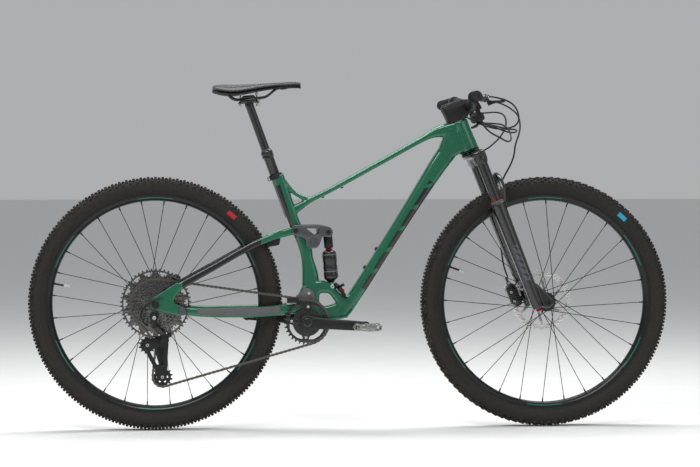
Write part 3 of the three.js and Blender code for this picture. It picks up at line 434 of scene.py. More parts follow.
class Finish:
    """A node material with a few short ways to add nodes. Coordinates are the bike's, in millimetres."""

    def __init__(
        self, name, roughness=0.5, metallic=0.0, coat=0.0, coat_roughness=0.05, sheen=0.0, specular=0.5,
    ):
        self.material = bpy.data.materials.new(name)
        self.material.use_nodes = True
        self.tree = self.material.node_tree
        self.shader = self.tree.nodes["Principled BSDF"]
        for label, value in (
            ("Roughness", roughness), ("Metallic", metallic), ("Coat Weight", coat),
            ("Coat Roughness", coat_roughness), ("Sheen Weight", sheen), ("Specular IOR Level", specular),
        ):
            self.shader.inputs[label].default_value = value
        place = self.tree.nodes.new("ShaderNodeTexCoord")
        scale = self.tree.nodes.new("ShaderNodeVectorMath")
        scale.operation = "SCALE"
        scale.inputs["Scale"].default_value = 1000
        self.tree.links.new(place.outputs["Object"], scale.inputs[0])
        self.here = scale.outputs["Vector"]
        self.axes = None

    def put(self, socket, value):
        if isinstance(value, bpy.types.NodeSocket):
            self.tree.links.new(value, socket)
        else:
            socket.default_value = value

    def math(self, operation, a, b=0.0):
        node = self.tree.nodes.new("ShaderNodeMath")
        node.operation = operation
        self.put(node.inputs[0], a)
        self.put(node.inputs[1], b)
        return node.outputs[0]

    def axis(self, letter):
        if not self.axes:
            node = self.tree.nodes.new("ShaderNodeSeparateXYZ")
            self.tree.links.new(self.here, node.inputs[0])
            self.axes = node
        return self.axes.outputs[letter]

    def along(self, point, direction):
        """How far a place in the side view is from a point, measured along a direction (x, z)."""
        a = self.math("MULTIPLY", self.math("SUBTRACT", self.axis("X"), point[0]), direction[0])
        b = self.math("MULTIPLY", self.math("SUBTRACT", self.axis("Z"), point[1]), direction[1])
        return self.math("ADD", a, b)

    def above(self, value, level, softness=0.6):
        """0 under the level and 1 over it."""
        node = self.tree.nodes.new("ShaderNodeMapRange")
        self.put(node.inputs["Value"], value)
        node.inputs["From Min"].default_value = level - softness
        node.inputs["From Max"].default_value = level + softness
        return node.outputs["Result"]

    def below(self, value, level, softness=0.6):
        return self.math("SUBTRACT", 1.0, self.above(value, level, softness))

    def times(self, first, *rest):
        for value in rest:
            first = self.math("MULTIPLY", first, value)
        return first

    def size(self, value):
        return self.math("ABSOLUTE", value)

    def round_axle(self, wheel):
        """A place's angle and distance round an axle."""
        dx = self.math("SUBTRACT", self.axis("X"), wheel[0])
        dz = self.math("SUBTRACT", self.axis("Z"), wheel[2])
        square = self.math("ADD", self.math("MULTIPLY", dx, dx), self.math("MULTIPLY", dz, dz))
        return self.math("ARCTAN2", dz, dx), self.math("SQRT", square)

    def noise(self, scale, detail=3):
        node = self.tree.nodes.new("ShaderNodeTexNoise")
        node.inputs["Scale"].default_value = scale
        node.inputs["Detail"].default_value = detail
        self.tree.links.new(self.here, node.inputs["Vector"])
        return node.outputs["Fac"]

    def cells(self, scale):
        node = self.tree.nodes.new("ShaderNodeTexVoronoi")
        node.inputs["Scale"].default_value = scale
        self.tree.links.new(self.here, node.inputs["Vector"])
        return node.outputs["Distance"]

    def ramp(self, value, *stops):
        node = self.tree.nodes.new("ShaderNodeValToRGB")
        self.put(node.inputs["Fac"], value)
        ramp = node.color_ramp
        while len(ramp.elements) < len(stops):
            ramp.elements.new(0.5)
        for element, (position, colour) in zip(ramp.elements, stops):
            element.position = position
            element.color = (*colour, 1)
        return node.outputs["Color"]

    def mix(self, share, a, b):
        node = self.tree.nodes.new("ShaderNodeMix")
        node.data_type = "RGBA"
        self.put(node.inputs["Factor"], share)
        self.put(node.inputs[6], a if isinstance(a, bpy.types.NodeSocket) else (*a, 1))
        self.put(node.inputs[7], b if isinstance(b, bpy.types.NodeSocket) else (*b, 1))
        return node.outputs[2]

    def level(self, value, low, high):
        """A value from 0 to 1 turned into one from low to high."""
        node = self.tree.nodes.new("ShaderNodeMapRange")
        self.put(node.inputs["Value"], value)
        node.inputs["To Min"].default_value = low
        node.inputs["To Max"].default_value = high
        return node.outputs["Result"]

    def colour(self, value):
        self.put(
            self.shader.inputs["Base Color"],
            value if isinstance(value, bpy.types.NodeSocket) else (*value, 1),
        )
        return self

    def rough(self, value):
        self.put(self.shader.inputs["Roughness"], value)
        return self

    def bump(self, height, strength=0.3, distance=0.0004):
        node = self.tree.nodes.new("ShaderNodeBump")
        node.inputs["Strength"].default_value = strength
        node.inputs["Distance"].default_value = distance
        self.tree.links.new(height, node.inputs["Height"])
        self.tree.links.new(node.outputs["Normal"], self.shader.inputs["Normal"])
        return self


EMERALD = (0.0, 0.118, 0.056)
EMERALD_DEEP = (0.0, 0.072, 0.034)
BLACK = (0.003, 0.003, 0.0035)
DOWN_TUBE_FOOT, DOWN_TUBE_RUN = (20, 405), Vector((80, 126))
SEAT_TUBE_TOP, SEAT_TUBE_RUN = (-187, 655), Vector((-62, 192))
BLOCK_STEP = 74.0


def frame_paint(name, masks):
    """Emerald metallic paint with gloss black zones. masks(finish) gives the share of black."""
    f = Finish(name, roughness=0.3, metallic=0.3, coat=1.0, coat_roughness=0.04, specular=0.3)
    flake = f.level(f.noise(2.2, 2), 0, 1)
    green = f.mix(flake, EMERALD_DEEP, EMERALD)
    drift = f.mix(f.noise(0.012, 2), green, EMERALD)
    f.colour(f.mix(masks(f), drift, BLACK))
    f.rough(f.level(f.noise(0.05, 4), 0.24, 0.36))
    f.bump(f.noise(0.35, 2), 0.03)
    return f.material


def front_masks(f):
    """Black: the lower side of the down tube, cut by slanted gaps, and the back of the seat tube."""
    run = DOWN_TUBE_RUN.normalized()
    over = f.along(DOWN_TUBE_FOOT, (-run.y, run.x))
    along = f.along(DOWN_TUBE_FOOT, (run.x, run.y))
    slanted = f.math("ADD", along, f.math("MULTIPLY", over, 0.9))
    beat = f.math("FRACT", f.math("DIVIDE", slanted, BLOCK_STEP))
    blocks = f.times(f.below(over, -1.5), f.below(beat, 0.8, 0.012))
    span = f.times(f.above(along, 12), f.below(along, 385))
    down = f.times(f.math("MAXIMUM", blocks, f.below(over, -15)), span)
    seat = SEAT_TUBE_RUN.normalized()
    behind = f.along(SEAT_TUBE_TOP, (-seat.y, seat.x))
    up = f.along(SEAT_TUBE_TOP, (seat.x, seat.y))
    strip = f.times(f.above(behind, 4), f.above(up, -96), f.below(up, 66), f.below(f.axis("X"), -120))
    return f.math("MAXIMUM", down, strip)


def stay_masks(f):
    """Black: the middle stretch of the seatstays."""
    return f.times(f.above(f.axis("X"), STAY_PIVOT[0], 1.0), f.below(f.axis("X"), -268, 1.0))


def chainstay_masks(f):
    """Black: the rear end of the chainstays, round their pivot."""
    return f.below(f.axis("X"), -482, 1.0)


def gloss_black():
    f = Finish("gloss_black", roughness=0.32, coat=0.8, coat_roughness=0.03, specular=0.25)
    f.colour(f.ramp(f.noise(0.6, 4), (0.35, (0.002, 0.002, 0.0025)), (0.7, (0.006, 0.006, 0.007))))
    f.rough(f.level(f.noise(0.08, 4), 0.24, 0.42))
    return f.bump(f.noise(0.3, 2), 0.04).material


def leg_black():
    """Gloss black fork legs with a muted row of slanted blocks along each one."""
    f = Finish("leg_black", roughness=0.3, coat=1.0, coat_roughness=0.03, specular=0.3)
    lean = (-math.sin(HEAD_LEAN), math.cos(HEAD_LEAN))
    foot = STEER @ Vector((11, 0, 0))
    up = f.along((foot.x, foot.z), lean)
    over = f.along((foot.x, foot.z), (lean[1], -lean[0]))
    beat = f.math("FRACT", f.math("DIVIDE", f.math("ADD", up, f.math("MULTIPLY", over, 0.8)), 21.0))
    span = f.times(f.above(up, 84), f.below(up, 196))
    share = f.times(f.below(beat, 0.72, 0.02), span, f.below(f.size(over), 8.5))
    dark = f.ramp(f.noise(0.6, 4), (0.35, (0.003, 0.0028, 0.0026)), (0.7, (0.008, 0.0076, 0.007)))
    f.colour(f.mix(share, dark, (0.045, 0.048, 0.062)))
    f.rough(f.level(f.noise(0.08, 4), 0.22, 0.38))
    return f.bump(f.noise(0.3, 2), 0.04).material


def satin_black():
    f = Finish("satin_black", roughness=0.45, specular=0.35)
    f.colour(f.ramp(f.noise(0.3, 5), (0.3, (0.0035, 0.0035, 0.004)), (0.75, (0.010, 0.010, 0.011))))
    f.rough(f.level(f.noise(0.7, 4), 0.36, 0.55))
    return f.bump(f.noise(2.5, 3), 0.12, 0.0002).material


def tyre_rubber(name, wheel, patch, patch_colour):
    """Dusty tread, darker sidewalls with fine moulded rings, and one coloured patch on the right sidewall."""
    f = Finish(name, roughness=0.85, specular=0.3)
    angle, radius = f.round_axle(wheel)
    dust = f.ramp(f.noise(0.05, 6), (0.35, (0.010, 0.009, 0.0085)), (0.72, (0.045, 0.039, 0.034)))
    wall = f.ramp(f.noise(0.4, 5), (0.35, (0.012, 0.0112, 0.0105)), (0.7, (0.030, 0.0275, 0.025)))
    tread = f.above(radius, 356, 2.0)
    colour = f.mix(tread, wall, dust)
    scuff = f.times(f.above(radius, 366.5, 1.2), f.noise(0.25, 5))
    colour = f.mix(scuff, colour, (0.075, 0.068, 0.06))
    inside = f.below(f.size(f.math("SUBTRACT", angle, patch)), 0.042, 0.001)
    band = f.times(f.above(radius, 333, 0.4), f.below(radius, 346, 0.4))
    f.colour(f.mix(f.times(inside, band, f.below(f.axis("Y"), 0, 0.5)), colour, patch_colour))
    f.rough(f.level(f.noise(0.3, 4), 0.72, 0.95))
    rings = f.math("SINE", f.math("MULTIPLY", radius, 2.6))
    grain = f.math("ADD", f.math("MULTIPLY", rings, 0.35), f.noise(1.5, 4))
    return f.bump(grain, 0.35, 0.0004).material


RIM_DASHES = 6


def rim_carbon(name, wheel):
    """Black carbon with six faint teal dashes round the spoke bed."""
    f = Finish(name, roughness=0.42, coat=0.25, coat_roughness=0.1, specular=0.25)
    angle, radius = f.round_axle(wheel)
    base = f.ramp(f.noise(0.15, 6), (0.35, (0.003, 0.003, 0.0035)), (0.7, (0.009, 0.0095, 0.0095)))
    beat = f.math("FRACT", f.math("MULTIPLY", angle, RIM_DASHES / (2 * math.pi)))
    dash = f.below(f.size(f.math("SUBTRACT", beat, 0.5)), 0.16, 0.004)
    line = f.times(f.above(radius, 306.5, 0.3), f.below(radius, 309.5, 0.3))
    f.colour(f.mix(f.times(dash, line), base, (0.004, 0.11, 0.07)))
    f.rough(f.level(f.noise(0.06, 4), 0.25, 0.4))
    return f.bump(f.noise(0.5, 2), 0.04).material


def ground_steel(name, dark, light, low=0.22, high=0.4, scale=0.9):
    f = Finish(name, roughness=0.3, metallic=1.0)
    f.colour(f.ramp(f.noise(scale, 5), (0.3, dark), (0.75, light)))
    f.rough(f.level(f.noise(scale * 2, 4), low, high))
    return f.bump(f.noise(scale * 4, 3), 0.08, 0.0002).material


def rotor_steel(name, wheel):
    """Steel turned in fine rings, darker on the carrier than on the braking band."""
    f = Finish(name, roughness=0.3, metallic=1.0)
    radius = f.round_axle(wheel)[1]
    band = f.above(radius, 62, 1.0)
    rings = f.math("SINE", f.math("MULTIPLY", radius, 9.0))
    f.colour(f.mix(band, (0.30, 0.30, 0.30), (0.62, 0.61, 0.59)))
    f.rough(f.level(f.math("ADD", f.math("MULTIPLY", rings, 0.3), f.noise(0.3, 4)), 0.18, 0.42))
    return f.bump(rings, 0.12, 0.0002).material


def grip_rubber():
    f = Finish("grip_rubber", roughness=0.8, specular=0.3)
    f.colour(f.ramp(f.noise(0.4, 4), (0.3, (0.004, 0.004, 0.004)), (0.7, (0.011, 0.011, 0.011))))
    return f.bump(f.noise(1.6, 4), 0.3, 0.0004).material


def saddle_cover():
    """Fine-grained synthetic leather, with smoother printed side panels."""
    f = Finish("saddle_cover", roughness=0.5, specular=0.45, sheen=0.15)
    grain = f.cells(1.1)
    side = f.above(f.size(f.axis("Y")), 34, 3)
    cover = f.ramp(grain, (0.1, (0.006, 0.006, 0.007)), (0.8, (0.015, 0.015, 0.016)))
    f.colour(f.mix(side, cover, (0.009, 0.009, 0.010)))
    f.rough(f.level(grain, 0.42, 0.62))
    return f.bump(grain, 0.35, 0.0004).material


def tinted(name, dark, light, roughness, metallic=0.0, scale=0.5, bump=0.1):
    """A plain finish whose colour drifts between two tones."""
    f = Finish(name, roughness=roughness, metallic=metallic)
    f.colour(f.ramp(f.noise(scale, 4), (0.3, dark), (0.75, light)))
    f.rough(f.level(f.noise(scale * 2, 4), roughness * 0.8, min(1.0, roughness * 1.25)))
    return f.bump(f.noise(scale * 4, 3), bump, 0.0002).material


FRONT_PAINT = frame_paint("front_paint", front_masks)
STAY_PAINT = frame_paint("seatstay_paint", stay_masks)
CHAINSTAY_PAINT = frame_paint("chainstay_paint", chainstay_masks)
GLOSS = gloss_black()
SATIN = satin_black()
LEG = leg_black()
RUBBER = grip_rubber()
COVER = saddle_cover()
FRONT_TYRE = tyre_rubber("front_tyre_rubber", FRONT_AXLE, 0.83, (0.03, 0.30, 0.42))
REAR_TYRE = tyre_rubber("rear_tyre_rubber", REAR_AXLE, 0.862, (0.42, 0.02, 0.02))
FRONT_RIM = rim_carbon("front_rim_carbon", FRONT_AXLE)
REAR_RIM = rim_carbon("rear_rim_carbon", REAR_AXLE)
FRONT_ROTOR = rotor_steel("front_rotor_steel", FRONT_AXLE)
REAR_ROTOR = rotor_steel("rear_rotor_steel", REAR_AXLE)
SPOKE = tinted("spoke_black", (0.006, 0.006, 0.0065), (0.018, 0.018, 0.019), 0.35, 0.6)
STEEL = ground_steel("bright_steel", (0.42, 0.42, 0.41), (0.68, 0.67, 0.65))
CHAIN_METAL = ground_steel("chain_metal", (0.05, 0.045, 0.039), (0.19, 0.175, 0.155), 0.28, 0.5, 1.4)
# Painted glints: the cogs' colour swings at random from near black to light grey, and the light flecks stand
# in for glints on the steel.
COG_METAL = ground_steel("cog_metal", (0.006, 0.006, 0.006), (0.24, 0.235, 0.23), 0.16, 0.36, 0.35)
GUNMETAL = tinted("gunmetal", (0.07, 0.072, 0.076), (0.14, 0.142, 0.146), 0.34, 0.8)
ALLOY = tinted("grey_alloy", (0.035, 0.035, 0.037), (0.06, 0.06, 0.063), 0.4, 0.75)
RED_METAL = tinted("red_metal", (0.20, 0.006, 0.006), (0.36, 0.010, 0.008), 0.3, 0.8)
PALE_MARK = tinted("pale_mark", (0.14, 0.14, 0.145), (0.25, 0.25, 0.255), 0.45)
WORN = ground_steel("worn_steel", (0.03, 0.03, 0.03), (0.62, 0.61, 0.59), 0.25, 0.5, 0.35)
GUARD = tinted("guard_rubber", (0.07, 0.07, 0.072), (0.115, 0.115, 0.117), 0.6, bump=0.3)
SEAL = tinted("seal_rubber", (0.055, 0.055, 0.057), (0.09, 0.09, 0.092), 0.6)

# The record's slot that each finish goes with, unless a piece says another
SLOTS = {
    look.name: slot
    for slot, looks in {
        "emerald_paint": (FRONT_PAINT, STAY_PAINT, CHAINSTAY_PAINT), "satin_black": (SATIN, SEAL, SPOKE),
        "gloss_black": (GLOSS, LEG, PALE_MARK, FRONT_RIM, REAR_RIM), "grip_rubber": (RUBBER,),
        "saddle_cover": (COVER,), "tyre_rubber": (FRONT_TYRE, REAR_TYRE),
        "steel": (STEEL, WORN, FRONT_ROTOR, REAR_ROTOR), "chain_steel": (CHAIN_METAL,),
        "gunmetal": (GUNMETAL, COG_METAL), "grey_alloy": (ALLOY, GUARD), "red_anodised": (RED_METAL,),
    }.items() for look in looks
}


# Frame

def front_shell():
    down = loft([
        [-30, 0, 333, 52, 40], [20, 0, 405, 54, 41], [100, 0, 531, 54, 41], [190, 0, 672, 54, 45],
        [250, 0, 765, 52, 52], [302, 0, 838, 46, 58],
    ], power=0.6)
    top = loft([
        [-188, 0, 630, 34, 32], [-160, 0, 648, 34, 26], [-130, 0, 666, 35, 18], [-104, 0, 680, 36, 17],
        [-48, 0, 708.5, 37, 17], [90, 0, 784.5, 38, 18], [205, 0, 848, 40, 19], [250, 0, 870, 44, 32],
        [306, 0, 880, 46, 50],
    ], power=0.58)
    seat = loft([
        [-218, 0, 743, 37, 37], [-187, 0, 655, 40, 36], [-166, 0, 598, 38, 34], [-140, 0, 545, 38, 42],
        [-131, 0, 500, 40, 36], [-122, 0, 450, 46, 48], [-122, 0, 400, 50, 52], [-130, 0, 345, 52, 54],
    ], power=0.62)
    brace = loft([[-200, 0, 728, 30, 14], [-166, 0, 690, 28, 12], [-122, 0, 671, 32, 18]], power=0.7)
    foot_outline = rounded([
        (-146, 420), (-94, 437), (-59, 427), (-40, 402), (-15, 388), (12, 418), (34, 392), (5, 349),
        (-3, 337), (-20, 322), (-64, 318), (-100, 298), (-135, 291), (-160, 316), (-160, 345), (-162, 384),
    ], 12)
    window = rounded([(-94, 398), (-68, 397), (-46, 368), (-88, 357), (-97, 375)], 6)
    foot = plate(foot_outline, -25, 25, 7, [window])
    head = steered(upright([(24, 498), (28.5, 499.5), (28, 520), (26.5, 560), (27, 588.5), (23, 590)]))
    gusset_outline = rounded([
        (252, 762), (290, 792), (322, 807), (346, 818), (340, 850), (322, 880), (280, 872), (262, 836),
        (252, 800),
    ], 8)
    gusset = plate(gusset_outline, -24, 24, 9)
    shell = lathe([(23, -42), (25, -40.5), (25, 40.5), (23, 42)], at(BOTTOM_BRACKET))
    rocker_boss = both(across(ROCKER_PIVOT, 12, 31, 18, 3))
    pivot_boss = both(across(MAIN_PIVOT, 12, 31, 15, 2))
    lugs = both(across(SHOCK_FOOT, 11, 21.2, 13, 2))
    return merged(down, top, seat, brace, foot, head, gusset, shell, rocker_boss, pivot_boss, lugs)


shock_room = box((SHOCK_FOOT[0], 0, SHOCK_FOOT[1] + 18), (62, 22.6, 70))
make(
    "frame_shell", front_shell(), FRONT_PAINT, "frame", "front_triangle", smooth=50, voxel=2.1, relax=5,
    cutter=shock_room,
)

headset_low = upright([(24, 494.6), (29.4, 495.4), (29.6, 498.6), (24, 499.4)])
make("headset_ring", steered(headset_low), SATIN, "frame")

POST_LEAN = math.radians(20)
POST_DIRECTION = Vector((-math.sin(POST_LEAN), 0, math.cos(POST_LEAN)))
POST_FOOT = Vector((-220, 0, 730))
outer_profile = [
    (14.9, -112), (14.9, 66), (16.2, 68), (16.2, 70), (17.6, 71.5), (17.6, 75), (17.1, 75.8), (17.1, 78.8),
    (17.6, 79.6), (17.6, 86), (16.8, 88.5), (15.4, 91), (13.2, 92.2),
]
make(
    "post_outer", lathe(outer_profile, POST_FOOT, POST_DIRECTION, 48), GLOSS, "frame", "dropper_outer",
    slot="satin_black",
)
wiper = lathe(
    [(13.0, 91), (14.6, 91.4), (14.2, 94.2), (12.9, 95)], POST_FOOT, POST_DIRECTION, 48, closed=True,
)
make("post_wiper", wiper, SEAL, "frame")
clamp_ear = POST_FOOT + POST_DIRECTION * 10.6 + Vector((-18.5, 0, -6.8))
clamp = merged(
    lathe(
        [(15, 3.5), (20.4, 4), (21, 5), (21, 16.5), (20.4, 17.6), (15, 18)], POST_FOOT, POST_DIRECTION, 48,
        closed=True,
    ),
    box(clamp_ear, (9, 13, 10), Matrix.Rotation(-POST_LEAN, 3, "Y")),
)
make("seat_clamp", clamp, SATIN, "frame", bevel=0.8)
clamp_bolt = bolt(clamp_ear + Vector((0, -6.5, 0)), (0, -1, 0), 4.2, 3)
make("seat_clamp_bolt", clamp_bolt, STEEL, "frame")

cup = lathe([
    (15.8, 42.4), (23.4, 42.4), (24, 43), (24, 45.6), (23.2, 46.5), (15.8, 46.5),
], at(BOTTOM_BRACKET), closed=True)
make("bracket_cups", both(cup), SATIN, "frame", "bottom_bracket")


def headed(centre, y, radius, height):
    return both(merged(
        bolt(at(centre, y), (0, 1, 0), radius, height, 0.42),
        across(centre, y - 1.5, y + 0.4, radius + 1.6, 0.4),
    ))


make("rocker_bolts", headed(ROCKER_PIVOT, 40.2, 8, 3.6), GUNMETAL, "frame", "rocker_axle", slot="steel")
make(
    "main_pivot_bolts", headed(MAIN_PIVOT, 44.3, 8.2, 3.6), GUNMETAL, "frame", "main_pivot_axle",
    slot="steel",
)
shock_bolt = merged(headed(SHOCK_FOOT, 21.5, 6, 3.6), across(SHOCK_FOOT, -21, 21, 5, 0.5))
make("shock_foot_bolts", shock_bolt, STEEL, "frame", "shock_foot_bolt")

DOWN_RUN = Vector(at(DOWN_TUBE_RUN)).normalized()
DOWN_UP = Vector((-DOWN_RUN.z, 0, DOWN_RUN.x))
bottle = []
for along in (68, 132):
    base = Vector(at(DOWN_TUBE_FOOT)) + DOWN_RUN * along + DOWN_UP * 19.6
    bottle.append(lathe([(6.6, 0), (6.6, 2), (5.8, 2.8), (3, 2.8)], base, DOWN_UP, 32))
    bottle.append(bolt(base + DOWN_UP * 2.6, DOWN_UP, 4.4, 2.6))
for x, z in ((-85, 681.5), (-29, 710)):
    down_from_top = Vector((0.45, 0, -0.89)).normalized()
    bottle.append(lathe([(4.6, 0), (4.6, 3), (3.9, 4.4), (2.2, 4.6)], (x, 0, z), down_from_top, 24))
make("bottle_bolts", merged(*bottle), SATIN, "frame")

guide_outline = rounded([
    (-166, 368), (-166, 392), (-150, 402), (-143, 414), (-128, 414), (-113, 402), (-108, 376), (-134, 370),
], 6)
guide_plate = plate(guide_outline, -35, -31.6, 0.8, [circle((-150, 380), 3, 14), circle((-122, 381), 3, 14)])
guide_boss = across((-128, 399), -32, -22, 6)
make("chain_guide", merged(guide_plate, guide_boss), GUARD, "frame")
guide_shoe = merged(
    box((-176, -52, 385), (34, 13, 3)), box((-176, -46.6, 379), (34, 2, 14)),
    box((-176, -57.4, 379), (34, 2, 14)), rod((-162, -45, 384), (-150, -34, 384), 3.4),
)
make("chain_guide_shoe", guide_shoe, SATIN, "frame", bevel=0.9)
make("chain_guide_bolts", merged(
    bolt((-128, -34.8, 399), (0, -1, 0), 4.4, 2.6), bolt((-156, -34.8, 381), (0, -1, 0), 3.2, 2),
), STEEL, "frame")


# Rear suspension

stay_arm = loft([
    [-140, 38, 357, 12, 27], [-196, 38.5, 352, 13, 30], [-262, 49, 347, 16, 31], [-330, 57, 345.5, 17, 30],
    [-400, 63, 345, 17, 27], [-460, 67, 347.5, 13, 24], [-497, 68.5, 352, 9.4, 22],
], power=0.6)
stay_side = merged(stay_arm, across(MAIN_PIVOT, 32, 44, 14.5, 1.5), across(STAY_PIVOT, 63.8, 73.2, 13, 1.5))
yoke = box((-186, 0, 357), (15, 76, 26))
make(
    "chainstay_shell", merged(both(stay_side), yoke), CHAINSTAY_PAINT, "chainstay", "chainstay", smooth=60,
    voxel=1.7, relax=5,
)
guard = loft([
    [-214, -49.4, 353, 8, 20], [-262, -57.6, 350, 7, 22], [-330, -65.4, 349, 7, 21],
    [-400, -71.6, 349, 6, 19], [-452, -73.4, 351, 5, 15],
], power=0.6, dome=3)
RIB_COUNT, RIB_BEND = 15, 8
ribs = []
for k in range(RIB_COUNT):
    y = -54.6 - 1.35 * k if k < RIB_BEND else -65.4 - 0.75 * (k - RIB_BEND)
    ribs.append(
        box((-232 - 12.5 * k, y, 351.6 - 0.12 * k), (5, 7.4, 15), Matrix.Rotation(math.radians(14), 3, "Z"))
    )
make("chainstay_guard", merged(guard, *ribs), GUARD, "chainstay", slot="satin_black", bevel=0.7)

dropout_outline = rounded([
    (-590, 368), (-580, 356), (-546, 346), (-497, 338), (-484, 342), (-482, 354), (-502, 366), (-523, 376),
    (-521, 388), (-496, 424), (-510, 436), (-586, 387),
], 7)
dropout = plate(dropout_outline, 73.8, 82.2, 2.4)
seat_arm = loft([
    [-540, 77.8, 398, 8.4, 26], [-505, 75, 421, 9.6, 22], [-470, 71, 442, 10.5, 20],
    [-400, 61, 480, 12, 18.5], [-300, 46, 536, 13, 19.5], [-236, 35, 563, 12, 20],
    [-200, 26.6, 574, 11, 22], [-172, 25.7, 581.5, 10.5, 24],
], power=0.6)
seat_side = merged(dropout, seat_arm, across(STAY_EYE, 20.6, 31, 13, 1.6))
bridge = box((-243, 0, 560), (10, 82, 16))
make(
    "seatstay_shell", merged(both(seat_side), bridge), STAY_PAINT, "seatstay", "seatstay", smooth=60,
    voxel=1.7, relax=5,
)
stay_caps = both(merged(
    across(STAY_PIVOT, 81.8, 85, 11, 1.2), bolt(at(STAY_PIVOT, 84.8), ACROSS, 7, 2.4, 0.42),
))
make("stay_pivot_caps", stay_caps, GUNMETAL, "seatstay")
axle = merged(
    across((-HALF_BASE, AXLE_Z), -86.2, 85, 7.2, 0.5), across((-HALF_BASE, AXLE_Z), 82.4, 86.4, 10, 1),
    lathe(
        [(11.5, 0), (11.5, 2.4), (9, 4), (4.2, 4.4), (3.9, 3.6), (3.9, 0.6), (0, 0.6)],
        (REAR_AXLE[0], -82.2, REAR_AXLE[2]), (0, -1, 0), 40, hexed=4,
    ),
)
make("rear_axle_piece", axle, SATIN, "seatstay", "rear_axle")
rear_brake_outline = rounded([
    (-560, 402), (-536, 402), (-508, 424), (-500, 444), (-514, 454), (-540, 440), (-562, 420),
], 5)
rear_brake = merged(
    plate(rear_brake_outline, 48, 56.4, 2), plate(rear_brake_outline, 62.6, 72, 2),
    plate(rounded([(-524, 424), (-506, 424), (-500, 444), (-514, 454), (-530, 446)], 4), 56, 63, 1),
    rod((-516, 72, 430), (-516, 78, 430), 5), rod((-548, 70, 408), (-548, 78, 408), 5),
)
make("rear_caliper", rear_brake, GLOSS, "seatstay")
bridge_cap = plate(
    rounded([(-252, 533), (-214, 540), (-210, 562), (-222, 568), (-250, 556)], 5), -30, -24, 1.4,
)
make("bridge_bracket", both(bridge_cap), SATIN, "seatstay")

rocker_outline = rounded([
    (-178, 574), (-181, 590), (-170, 599), (-96, 599), (-64, 592), (-57, 580), (-60, 566), (-70, 562),
    (-88, 566), (-97, 540), (-106, 530), (-122, 530), (-132, 540), (-140, 560),
], 6)
rocker_window = rounded([(-136, 589), (-96, 588), (-101, 572), (-110, 569)], 4)
rocker_plate = merged(
    plate(rocker_outline, 32, 40, 1.8, [rocker_window]), across(ROCKER_PIVOT, 39.4, 40.2, 15, 0.4),
    across(STAY_EYE, 31.6, 41.2, 10.5, 1.4), across(SHOCK_TOP, 31.6, 41.2, 9.5, 1.4),
)
rocker_cross = merged(
    across((-97, 581), -33, 33, 6), across(SHOCK_TOP, -33, 33, 4, 0.4),
    across(STAY_EYE, -33, -20.5, 4.2, 0.4), across(STAY_EYE, 20.5, 33, 4.2, 0.4),
)
make("rocker_plates", merged(both(rocker_plate), rocker_cross), GUNMETAL, "rocker", "rocker", smooth=28)
rocker_caps = both(merged(
    bolt(at(STAY_EYE, 41), ACROSS, 7.4, 2.8, 0.42), bolt(at(SHOCK_TOP, 41), ACROSS, 6.6, 2.8, 0.42),
))
make("rocker_caps", rocker_caps, SATIN, "rocker")

SHOCK_RUN = Vector((SHOCK_TOP[0] - SHOCK_FOOT[0], 0, SHOCK_TOP[1] - SHOCK_FOOT[1])).normalized()
SHOCK_BASE = Vector(at(SHOCK_FOOT))
can_profile = [
    (8, 8), (9.5, 12), (14, 17), (20, 22), (21.4, 25), (21.4, 40), (20.7, 41), (20.7, 46), (21.4, 47),
    (21.4, 60), (20.7, 61), (20.7, 64), (21.4, 65), (21.4, 90), (20.8, 93), (20.8, 95), (21.2, 96),
    (20.6, 99), (17, 103), (13, 106), (9.4, 106.6),
]
can = merged(lathe(can_profile, SHOCK_BASE, SHOCK_RUN, 48), across(SHOCK_FOOT, -10.4, 10.4, 11, 1))
make("shock_air_can", can, GLOSS, "shock_can", "shock_can")
bands = [
    lathe([(20.4, a), (21.6, a), (21.6, b), (20.4, b)], SHOCK_BASE, SHOCK_RUN, 48, closed=True)
    for a, b in ((43, 44.6), (92, 93.6))
]
make("shock_bands", merged(*bands), PALE_MARK, "shock_can")
shock_head = merged(
    rod((-50, -20, 424), (-40, -31, 416), 7), rod((-40, -32, 414), (-27, -32, 402), 7.4, 6.6),
    rod((-31, -30, 404), (-22, -33, 390), 5.4),
    box((-22, -33, 388), (15, 6, 6), Matrix.Rotation(math.radians(35), 3, "Y")),
    rod((-34, -27, 420), (-24, -30, 424), 4.2),
)
make("shock_head", shock_head, SATIN, "shock_can", bevel=0.7)
dial = lathe([(3.2, 0), (4.2, 0.6), (4.2, 4.0), (3.6, 4.6), (0, 4.6)], (-29, -35, 407), (0.2, -1, 0.1), 24)
make("shock_rebound_knob", dial, RED_METAL, "shock_can")
shaft_profile = [
    (8.5, 60), (8.5, 112), (12.6, 113), (13.4, 115), (13.4, 150), (12.4, 153), (9, 156), (8, 158),
]
shaft = merged(lathe(shaft_profile, SHOCK_BASE, SHOCK_RUN, 48), across(SHOCK_TOP, -10.9, 10.9, 10.5, 1))
make("shock_body", shaft, SATIN, "shock_shaft", "shock_shaft", slot="grey_alloy")
make("shock_ring", lathe(
    [(8.4, 107.6), (10.8, 107.8), (10.8, 110.4), (8.4, 110.6)], SHOCK_BASE, SHOCK_RUN, 40, closed=True,
), RED_METAL, "shock_shaft")


# Saddle

SADDLE_COLUMNS = 28
# Rows of x, half width, height of the middle, and how much lower the rim is
SADDLE = [
    [-408, 28, 1003, 5], [-404, 42, 1006, 9], [-396, 56, 1008, 13], [-375, 68, 1010, 19],
    [-345, 68, 1009.5, 20], [-310, 56, 1010.5, 16], [-270, 37, 1012.5, 10], [-228, 24, 1015, 6.4],
    [-190, 20, 1017, 6], [-166, 17.5, 1018, 6], [-155, 13, 1017, 5.4], [-149.6, 7, 1014, 4],
]


